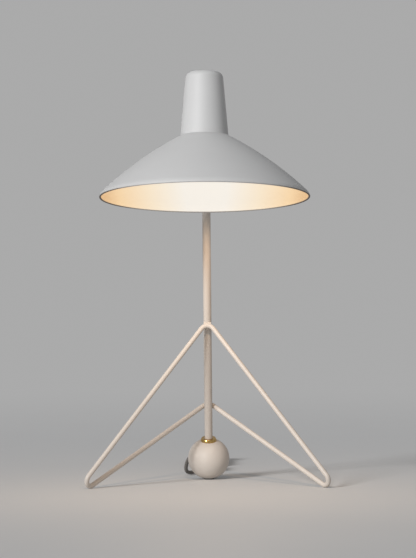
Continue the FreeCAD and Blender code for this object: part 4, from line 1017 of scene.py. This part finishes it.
def plug_body():
    """The flat oval plug, with a waist for the fingers behind its wide face."""
    # place behind the relief, width and thickness
    sections = [
        (0.0, 0.0120, 0.0104),
        (0.0004, 0.0142, 0.0124),
        (0.0014, 0.0156, 0.0134),
        (0.0045, 0.0176, 0.0130),
        (0.0090, 0.0204, 0.0118),
        (0.0135, 0.0242, 0.0114),
        (0.0175, 0.0280, 0.0120),
        (0.0205, 0.0312, 0.0130),
        (0.0232, 0.0338, 0.0135),
        (0.0260, 0.0350, 0.0136),
        (0.0326, 0.0350, 0.0136),
        (0.0334, 0.0346, 0.0132),
        (0.0339, 0.0336, 0.0122),
        (0.0340, 0.0322, 0.0108),
    ]
    piece = oval_bar("plug", sections)
    place = Matrix.Translation((PLUG_X, RELIEF_START + RELIEF_LONG, PLUG_MIDDLE))
    finished(placed(piece, place), "stand", "dark_plastic", ["plug_body"])


def cord_tie():
    """The strap round the hank: a band with rounded corners, cut to an even width."""
    across, high, low, middle_y, wide, thick = 0.0448, 0.016, 0.0001, 0.266, 0.012, 0.0008
    corner_round, edge_round = 0.0028, 0.00025
    start_clean()
    bpy.ops.mesh.primitive_cube_add(size=1, location=(HANK_X, middle_y, low + high / 2))
    piece = bpy.context.object
    piece.name = piece.data.name = "tie"
    piece.scale = (across, wide, high)
    bpy.ops.object.transform_apply(location=True, rotation=True, scale=True)
    bpy.ops.object.mode_set(mode="EDIT")
    bpy.ops.mesh.select_mode(type="FACE")
    bpy.ops.mesh.select_all(action="DESELECT")
    bpy.ops.object.mode_set(mode="OBJECT")
    for face in piece.data.polygons:
        face.select = abs(face.normal.y) > 0.9
    bpy.ops.object.mode_set(mode="EDIT")
    bpy.ops.mesh.delete(type="ONLY_FACE")
    bpy.ops.mesh.select_mode(type="EDGE")
    bpy.ops.mesh.select_all(action="DESELECT")
    bpy.ops.object.mode_set(mode="OBJECT")
    for edge in piece.data.edges:
        ends = [piece.data.vertices[index].co for index in edge.vertices]
        edge.select = abs(ends[0].y - ends[1].y) > wide / 2
    bpy.ops.object.mode_set(mode="EDIT")
    bpy.ops.mesh.bevel(offset=corner_round, segments=6, affect="EDGES")
    bpy.ops.mesh.select_all(action="SELECT")
    bpy.ops.mesh.normals_make_consistent(inside=False)
    bpy.ops.object.mode_set(mode="OBJECT")
    modified(piece, "SOLIDIFY", thickness=thick, offset=-1)
    eased(piece, edge_round)
    finished(piece, "stand", "tie_fabric", ["cord_tie"])


# ---------------------------------------------------------------- making the lamp

shade_brim()
shade_neck()
stem_tube()
wire_loop()
ball_foot()
ball_collar()
for node, body, slot, width in EASED:
    eased_copy(node, body, slot, width)
bulb_globe()
cord_gland()
plug_relief()
plug_body()
cord_tie()

finished(
    lead_to_switch, "stand", "textile_lead", ["cord_lead"],
    finish=woven_cover("lead_cover", FIRST_STRETCH, LEAD_COLOUR),
)
finished(
    lead_to_plug, "stand", "textile_lead", ["cord_middle", "cord_hank", "cord_end"],
    finish=woven_cover("hank_cover", SECOND_STRETCH, LEAD_COLOUR),
)

for part in frame["record"]["subparts"]:
    cad = frame["nodes"][part["node"]]
    cad.data.materials.clear()
    cad.data.materials.append(FINISHES[part["material_slot"]])
